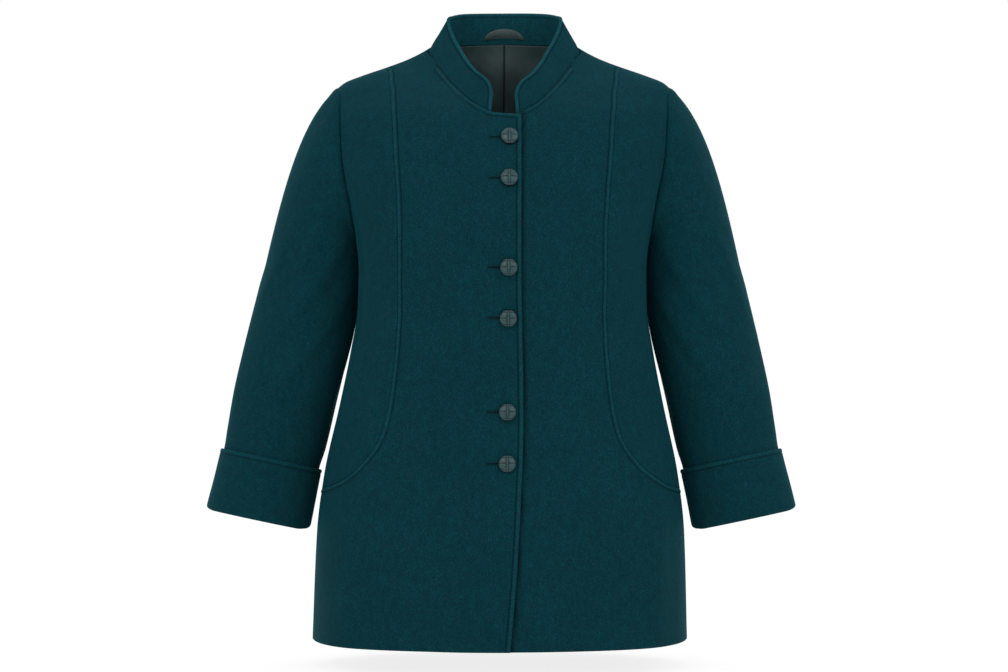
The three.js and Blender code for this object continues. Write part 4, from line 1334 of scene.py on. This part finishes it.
def cuff(side, name):
    turns = even_turns(COLUMNS_AROUND)
    levels = np.linspace(CUFF_TOP_Z, WRIST_Z, CUFF_ROWS)
    grid = np.array([sleeve_ring(z, turns, side, CUFF_GAP + CUFF_CLOTH) for z in levels])
    grid = np.concatenate([grid, grid[-1:] + sleeve_axes(side)[0] * CUFF_OVERHANG])
    grid = respaced(draw_up(grid, turns, side), STITCHED, EDGE, CUFF_PLAIN_ROWS)
    normals = ring_normals(grid, side)
    from_top = down_columns(grid)
    from_end = from_top[-1] - from_top
    fall = rolled(np.minimum(from_top, from_end), CUFF_CLOTH / 2)
    soft = 0.7 * np.sin(3 * turns + side) * smoothstep(0, 50, from_top)
    soft = soft + 0.4 * np.sin(5 * turns + 2) * smoothstep(20, 73, from_top)
    outer = lifted(grid, normals, soft + CUFF_RIDGE * stitched_form(from_top) - fall)
    inner = lifted(grid, normals, fall - CUFF_CLOTH)
    made = tube(name, outer, inner, WOOL)
    # Painted highlight along the cuff's edges and painted shade in its stitches' groove.
    shade(made, edge_painted_light(from_top, CUFF_PAINTED_HIGHLIGHT))
    settle(made, "wool", name, name=name)
    row = int(np.argmin(np.abs(from_top[:, 0] - STITCH_INSET)))
    threads = Threads()
    threads.run(*(np.vstack([lines[row], lines[row][:1]]) for lines in (outer, normals)))
    threads.piece(f"{name}_topstitching")


for side, side_name in ((RIGHT, "right"), (LEFT, "left")):
    sleeve(side, f"sleeve_{side_name}")
    cuff(side, f"cuff_{side_name}")

# ---------------- collar

NECK_MIDDLE_Y = -10.0
# The foot reaches down this many times as far as it misses the panels' corners.
COLLAR_TUCK = 2.0
CORNER_COLUMNS = 26
BRIM = (0, 0.15, 0.5, 1.0, 1.7)


def on_neck(places):
    points = body_point(places[:, 0], places[:, 1])
    lift = np.where(places[:, 0] < 0, lap_lift(points), 0)
    return lifted(points, body_normal(places[:, 0], places[:, 1]), lift)


def neck_seam():
    """The neck seam from the wearer's right to the left, and how far it rounds the panels' corners off."""
    right_front = front_curve(NECKLINE, RIGHT, NECK_STEPS)[::-1]
    back = neck_back_line(2 * NECK_STEPS)[::-1]
    left_front = front_curve(NECKLINE, LEFT, NECK_STEPS)
    seam = smooth_line(on_neck(np.vstack([right_front, back[1:-1], left_front])), 12)
    edge = np.vstack([on_neck(finer(places, 24)) for places in (right_front, back, left_front)])
    return seam, distances(seam, edge)


def toward_neck(points):
    return (np.array([0, NECK_MIDDLE_Y, 0]) - points) * np.array([1, 1, 0])


def collar_grid(step, heights):
    """Points on the collar's outside. heights(full) gives distances from the foot up."""
    seam, rounded_off = neck_seam()
    length = reach_of(seam)[-1]
    corner = COLLAR_CORNER * (1 - np.cos(np.linspace(0, HALF_TURN / 2, CORNER_COLUMNS)))
    start = np.unique(np.round(np.concatenate([BRIM, corner[corner > 2.2]]), 3))
    count = int((length - 2 * COLLAR_CORNER) / step)
    middle = np.linspace(COLLAR_CORNER, length - COLLAR_CORNER, count)[1:-1]
    places = np.concatenate([start, middle, (length - start)[::-1]])
    base = along(seam, places)
    drops = smoothstep(0.3, 1.5, rounded_off) * rounded_off
    drops = COLLAR_TUCK * np.interp(places, reach_of(seam), drops)
    columns = []
    for place, foot, drop in zip(places, base, drops):
        from_end = min(place, length - place, COLLAR_CORNER)
        rounding = COLLAR_CORNER - math.sqrt(COLLAR_CORNER**2 - (COLLAR_CORNER - from_end) ** 2)
        up = unit(toward_neck(foot)) * float(read(COLLAR_LEAN, "y", "lean", foot[1]))
        up[2] = float(read(COLLAR_LEAN, "y", "rise", foot[1]))
        full = float(np.linalg.norm(up))
        columns.append(foot + unit(up) * (COLLAR_SEAT - drop + heights(full - rounding + drop))[:, None])
    return np.stack(columns, 1), places


def strip_normals(grid):
    normals = unit(np.cross(np.gradient(grid, axis=1), np.gradient(grid, axis=0)))
    outward = -toward_neck(grid)
    return np.where((normals * outward).sum(-1, keepdims=True) < 0, -normals, normals)


COLLAR_INSET = 5.0
COLLAR_FOOT = (0, 0.3, 0.9, 1.8, 3.2)
COLLAR_PAINTED_HIGHLIGHT = 0.75
# Painted light spread over the whole inside of the collar.
COLLAR_INSIDE_PAINTED_LIGHT = 0.9


def collar():
    grid, places = collar_grid(2.6, lambda height: spacing(height, COLLAR_FOOT, STITCHED[:-1], 10))
    normals = strip_normals(grid)
    edge = np.concatenate([grid[:, 0], grid[-1], grid[::-1, -1]])
    edge_line = along(edge, np.arange(0, reach_of(edge)[-1], SAMPLES_APART))
    away = distances(grid.reshape(-1, 3), edge_line).reshape(grid.shape[:2])
    away[-1], away[:, 0], away[:, -1] = 0, 0, 0
    fall = rolled(away, COLLAR_CLOTH / 2)
    scaled = away * STITCH_INSET / COLLAR_INSET
    soft = 0.5 * np.sin(places / 41) + 0.35 * np.sin(places / 17 + 1)
    foot = grid[..., 2] - grid[:1, :, 2]
    soft = soft * smoothstep(2, 20, foot) - 0.9 * bell(foot, 0, 1.6)
    outer = lifted(grid, normals, soft + stitched_form(scaled) * smoothstep(0, 5, foot) - fall)
    inner = lifted(grid, normals, fall - COLLAR_CLOTH + 0.8 * stitched_groove(scaled))
    made = closed("collar_cloth", outer, inner, quads(numbered(grid)), WOOL)
    # Painted highlight along the collar's edges and painted shade in its stitches' groove; its inside gets
    # painted light all over, with half of both.
    painted_edge = edge_painted_light(scaled, COLLAR_PAINTED_HIGHLIGHT)
    inside = {"raised": painted_edge["raised"] * 0.5 + COLLAR_INSIDE_PAINTED_LIGHT, "painted_shade": painted_edge["painted_shade"] * 0.5}
    shade(made, {key: np.concatenate([values, inside[key]]) for key, values in painted_edge.items()})
    settle(made, "wool", "collar", name="collar")
    threads = Threads()
    for skin, facing in ((outer, 1), (inner, -1)):
        threads.run(*collar_stitch_path(skin, normals * facing, away))
    threads.piece("collar_topstitching")


def collar_stitch_path(skin, normals, away):
    """The line at the stitches' distance from the collar's edge, along one skin."""
    path, up = [], []
    rows, columns = away.shape
    first = int(np.argmax(away[rows // 2] > COLLAR_INSET))
    last = columns - 1 - int(np.argmax(away[rows // 2][::-1] > COLLAR_INSET))
    for row in range(2, rows):
        if away[row, first] < COLLAR_INSET or away[row, : columns // 2].max() < COLLAR_INSET:
            break
        share = np.interp(COLLAR_INSET, away[row, : columns // 4], np.arange(columns // 4))
        low = int(share)
        t = share - low
        path.append(skin[row, low] * (1 - t) + skin[row, low + 1] * t)
        up.append(normals[row, low])
    for column in range(first, last + 1):
        line = away[::-1, column]
        if line.max() < COLLAR_INSET:
            continue
        stop = int(np.argmax(line > COLLAR_INSET))
        share = (COLLAR_INSET - line[stop - 1]) / (line[stop] - line[stop - 1])
        high, low = rows - stop, rows - 1 - stop
        path.append(skin[high, column] * (1 - share) + skin[low, column] * share)
        up.append(normals[low, column])
    return np.array(path), np.array(up)


collar()

# ---------------- hanger loop

LOOP_HALF_SPAN = 26.0
# Heights on the loop, as shares of the collar's.
LOOP_FOOT = 0.13
LOOP_OPENING_RISE = 0.09
LOOP_END_WIDTH = 0.035
LOOP_RISE = 0.36
LOOP_SHADE = 0.3
LOOP_CLOTH = 1.2
LOOP_GAP = 0.8
LOOP_FULLNESS = 0.8
LOOP_PUCKER = 0.3
LOOP_PUCKERS = 19
LOOP_COLUMNS = 61
LOOP_ROWS = 13


def hanger_loop():
    """A crescent of satin against the collar's inside, padded a little along its middle."""
    grid, _ = collar_grid(2.0, lambda height: np.linspace(0, height, 9))
    inside = grid - strip_normals(grid) * (COLLAR_CLOTH + LOOP_GAP)
    foot, brim = inside[0], inside[-1]
    t = np.sin(np.linspace(-HALF_TURN / 2, HALF_TURN / 2, LOOP_COLUMNS))
    arch = np.sqrt(1 - t**2)
    low = along(foot, reach_of(foot)[-1] / 2 + t * LOOP_HALF_SPAN)
    high = along(brim, reach_of(brim)[-1] / 2 + t * LOOP_HALF_SPAN)
    lower = LOOP_FOOT + LOOP_OPENING_RISE * arch
    upper = LOOP_FOOT + LOOP_END_WIDTH + LOOP_RISE * arch
    across = np.linspace(0, 1, LOOP_ROWS)[:, None]
    height = (lower + (upper - lower) * across)[..., None]
    sheet = low * (1 - height) + high * height
    normals = -strip_normals(sheet)
    width = np.linalg.norm(sheet[-1] - sheet[0], axis=-1)
    edge = np.minimum(across, 1 - across) * width
    fall = rolled(edge, LOOP_CLOTH / 2)
    pucker = LOOP_PUCKER * np.sin(t * LOOP_PUCKERS)
    full = (LOOP_FULLNESS * arch + pucker) * np.sin(HALF_TURN * across)
    front = lifted(sheet, normals, LOOP_CLOTH + full - fall)
    back = lifted(sheet, normals, fall)
    made = closed("hanger_loop_cloth", front, back, quads(numbered(sheet)), SATIN)
    # Painted shade over the whole loop.
    shade(made, {"painted_shade": np.full(2 * edge.size, LOOP_SHADE)})
    settle(made, "lining", "hanger_loop", name="hanger_loop")


hanger_loop()

# ---------------- buttons and buttonholes

SHANK_RADIUS = 2.2
SHANK_FOOT = 0.8
BUTTON_UNDER = LAP_LIFT + 1.2
BUTTON_CROWN = 6.5
BUTTON_RIM = 1.6
STRIP_WIDTH = 3.0
STRIP_END = 8.2
STRIP_GROOVE = 0.6
PLAIT_SPREAD = 0.9
WEAVE_RELIEF = 0.9
RELIEF_LEVEL = 0.8
RELIEF_ASIDE = 0.6
BUTTON_RINGS = 46
BUTTON_SIDES = 120
# The button below its dome: (radius, height) of its rings.
BUTTON_BACK = [
    (BUTTON_RADIUS, BUTTON_UNDER + 0.9),
    (BUTTON_RADIUS - 0.5, BUTTON_UNDER + 0.3),
    (BUTTON_RADIUS - 1.6, BUTTON_UNDER),
    (SHANK_RADIUS + 0.6, BUTTON_UNDER),
    (SHANK_RADIUS, BUTTON_UNDER - 0.6),
    (SHANK_RADIUS, SHANK_FOOT),
]


def button_frame(z):
    """Axes of a button: right, up and out of the cloth, with its place on the under front."""
    angle = float(front_angle(BUTTON_X, z))
    out = body_normal(angle, z)
    up = unit(np.array([0, 0, 1]) - out * out[2])
    return np.array([np.cross(up, out), up, out]), body_point(angle, z)


def plait(x, y):
    """Relief of broad leather strips, an upright one over two level ones: 0 in grooves, up to 1."""
    beside = np.abs(np.abs(x) - STRIP_WIDTH / 2)
    between = np.where(np.abs(x) > STRIP_WIDTH / 2, np.abs(y - 0.6), BUTTON_RADIUS)
    outer = np.abs(np.abs(y) - STRIP_END)
    line = np.minimum(np.minimum(beside, between), outer)
    return 1 - bell(line, 0, STRIP_GROOVE)


def button(z, number):
    """A dome with the relief of its plait, a flat back and a shank."""
    slope = np.linspace(0, HALF_TURN / 2, BUTTON_RINGS)[1:, None]
    turn = np.linspace(0, 2 * HALF_TURN, BUTTON_SIDES, endpoint=False)
    level = np.zeros(BUTTON_SIDES)
    x, y = (BUTTON_RADIUS * slope * PLAIT_SPREAD * f(turn) for f in (np.cos, np.sin))
    relief = plait(x, y) * smoothstep(HALF_TURN / 2, HALF_TURN / 2 - 0.25, slope)
    out = WEAVE_RELIEF * (relief - RELIEF_LEVEL)
    reach = (BUTTON_RADIUS + out * RELIEF_ASIDE) * np.sin(slope)
    rise = BUTTON_UNDER + BUTTON_RIM + (BUTTON_CROWN - BUTTON_RIM + out) * np.cos(slope)
    dome = np.stack([reach * np.cos(turn), reach * np.sin(turn), rise], -1)
    back = [np.stack([r * np.cos(turn), r * np.sin(turn), level + h], -1) for r, h in BUTTON_BACK]
    grid = np.concatenate([dome, back])
    ends = [[0, 0, BUTTON_UNDER + BUTTON_CROWN + WEAVE_RELIEF * -0.5], [0, 0, SHANK_FOOT]]
    numbers = numbered(grid)
    top_at, foot_at = np.full((2, BUTTON_SIDES), [[numbers.size], [numbers.size + 1]])
    first, last = numbers[0], numbers[-1]
    caps = [
        np.stack([top_at, top_at, first, np.roll(first, -1)], -1),
        np.stack([foot_at, foot_at, np.roll(last, -1), last], -1),
    ]
    axes, place = button_frame(z)
    points = np.vstack([grid.reshape(-1, 3), ends]) @ axes + place
    made = mesh_object(
        f"button_{number}_woven", points, np.vstack([quads(numbers, ring=True), *caps]), LEATHER
    )
    # Painted shade in the plait's grooves and on the steep rim of the dome.
    shade(made, {"depth": np.clip(relief * 1.5, 0, 1) * smoothstep(1.42, 1.0, slope)})
    settle(made, "buttons", f"button_{number}")


for number, z in enumerate(BUTTON_HEIGHTS, 1):
    button(z, number)

SLIT_WIDTH = 1.1
SLIT_BEYOND = 1.0
SLIT_LOW = 0.6
SLIT_HIGH = LAP_LIFT + 3.4
BOX_FACES = np.array([(3, 2, 1, 0), (4, 5, 6, 7), (0, 1, 5, 4), (1, 2, 6, 5), (2, 3, 7, 6), (3, 0, 4, 7)])
HOLE_STITCH = 1.7
HOLE_PITCH = 0.72
HOLE_START = -BUTTONHOLE_LENGTH - 0.2
HOLE_THREAD = {"radius": 0.36, "bow": 0.42}
BAR_START = HOLE_START - 1.6
BAR_END = HOLE_START + 0.7
BAR_THREAD = {"radius": 0.38, "bow": 0.45}
UNDER_BUTTON = 6.0


def cut_slits(panel):
    """Cuts the buttonholes' slits through the lapped front."""
    left, right, half = -BUTTONHOLE_LENGTH, SLIT_BEYOND, SLIT_WIDTH / 2
    level = [(left, -half), (right, -half), (right, half), (left, half)]
    box = np.array([(x, y, height) for height in (SLIT_LOW, SLIT_HIGH) for x, y in level])
    points, faces = [], []
    for i, z in enumerate(BUTTON_HEIGHTS):
        axes, place = button_frame(z)
        points.append(box @ axes + place)
        faces.append(BOX_FACES + len(box) * i)
    cutter = mesh_object("slit_cutter", np.vstack(points), np.vstack(faces), WOOL, smooth=False)
    modifier = panel.modifiers.new("slits", "BOOLEAN")
    modifier.operation = "DIFFERENCE"
    modifier.object = cutter
    modifier.solver = "EXACT"
    bpy.context.view_layer.update()
    made = bpy.data.meshes.new_from_object(panel.evaluated_get(bpy.context.evaluated_depsgraph_get()))
    panel.modifiers.clear()
    panel.data = made
    bpy.data.objects.remove(cutter)


def buttonhole_stitches(surface):
    """Stitches close together along both edges of each slit, and across its end."""
    threads = Threads()
    for z in BUTTON_HEIGHTS:
        axes, place = button_frame(z)

        def on_cloth(x, y):
            return np.array(surface.find_nearest(np.array([x, y, LAP_LIFT]) @ axes + place)[0])

        for i in range(int((BUTTONHOLE_LENGTH - UNDER_BUTTON) / HOLE_PITCH)):
            x = HOLE_START + i * HOLE_PITCH
            for edge in (-1, 1):
                near = on_cloth(x, SLIT_WIDTH / 2 * edge * 0.7)
                far = on_cloth(x, (SLIT_WIDTH / 2 + HOLE_STITCH) * edge)
                threads.add(near, far, axes[2], **HOLE_THREAD)
        for k in range(-3, 4):
            y = k * HOLE_PITCH
            threads.add(on_cloth(BAR_START, y), on_cloth(BAR_END, y), axes[2], **BAR_THREAD)
    threads.piece("buttonhole_stitches")


cut_slits(front_right)
buttonhole_stitches(right_surface)

# ---------------- how it hangs

LEAN = 0.0075
LEAN_PIVOT_Z = -0.37

# The coat hangs a little to the wearer's right toward its hem.
for piece in pieces.values():
    for vertex in piece.data.vertices:
        vertex.co.x += LEAN * (vertex.co.z - LEAN_PIVOT_Z)

# ---------------- floor, light and camera

FLOOR_Z = -0.79
IMAGE_CENTRE_DROP = -0.370
CAMERA_DISTANCE = 3.3
CAMERA_X = 0.0025
LENS = 92.07
SENSOR_WIDTH = 36.0


def floor():
    mesh = bpy.data.meshes.new("floor")
    corners = [(-30, -20, FLOOR_Z), (30, -20, FLOOR_Z), (30, 60, FLOOR_Z), (-30, 60, FLOOR_Z)]
    mesh.from_pydata(corners, [], [(0, 1, 2, 3)])
    look = bpy.data.materials.new("pale floor")
    look.use_nodes = True
    shader = look.node_tree.nodes["Principled BSDF"]
    shader.inputs["Base Color"].default_value = (0.2, 0.2, 0.2, 1)
    shader.inputs["Roughness"].default_value = 0.9
    shader.inputs["Specular IOR Level"].default_value = 0.0
    shader.inputs["Emission Color"].default_value = (1, 1, 1, 1)
    shader.inputs["Emission Strength"].default_value = 0.82
    mesh.materials.append(look)
    made = bpy.data.objects.new("floor", mesh)
    bpy.context.collection.objects.link(made)


def area_light(name, place, target, size, power):
    data = bpy.data.lights.new(name, "AREA")
    data.shape = "RECTANGLE"
    data.size, data.size_y = size
    data.energy = power
    made = bpy.data.objects.new(name, data)
    made.location = place
    made.rotation_euler = (Vector(target) - Vector(place)).to_track_quat("-Z", "Y").to_euler()
    bpy.context.collection.objects.link(made)


def world(strength):
    made = bpy.data.worlds.new("studio")
    bpy.context.scene.world = made
    made.use_nodes = True
    back = made.node_tree.nodes["Background"]
    back.inputs["Color"].default_value = (1, 1, 1, 1)
    back.inputs["Strength"].default_value = strength


def camera():
    data = bpy.data.cameras.new("camera")
    data.lens = LENS
    data.sensor_width = SENSOR_WIDTH
    made = bpy.data.objects.new("camera", data)
    facing = Matrix.Rotation(HALF_TURN / 2, 4, "X")
    made.matrix_world = Matrix.Translation((CAMERA_X, -CAMERA_DISTANCE, IMAGE_CENTRE_DROP)) @ facing
    bpy.context.collection.objects.link(made)
    bpy.context.scene.camera = made


floor()
world(1.0)
area_light("key", (-1.5, -2.5, 1.3), (0, 0, -0.35), (1.4, 1.4), 22)
area_light("fill", (2.0, -2.3, 0.8), (0, 0, -0.4), (1.8, 1.8), 18)
area_light("top", (0.0, 0.6, 2.2), (0, 0, -0.2), (1.6, 1.2), 12)
camera()
bpy.context.scene.view_settings.view_transform = "Standard"
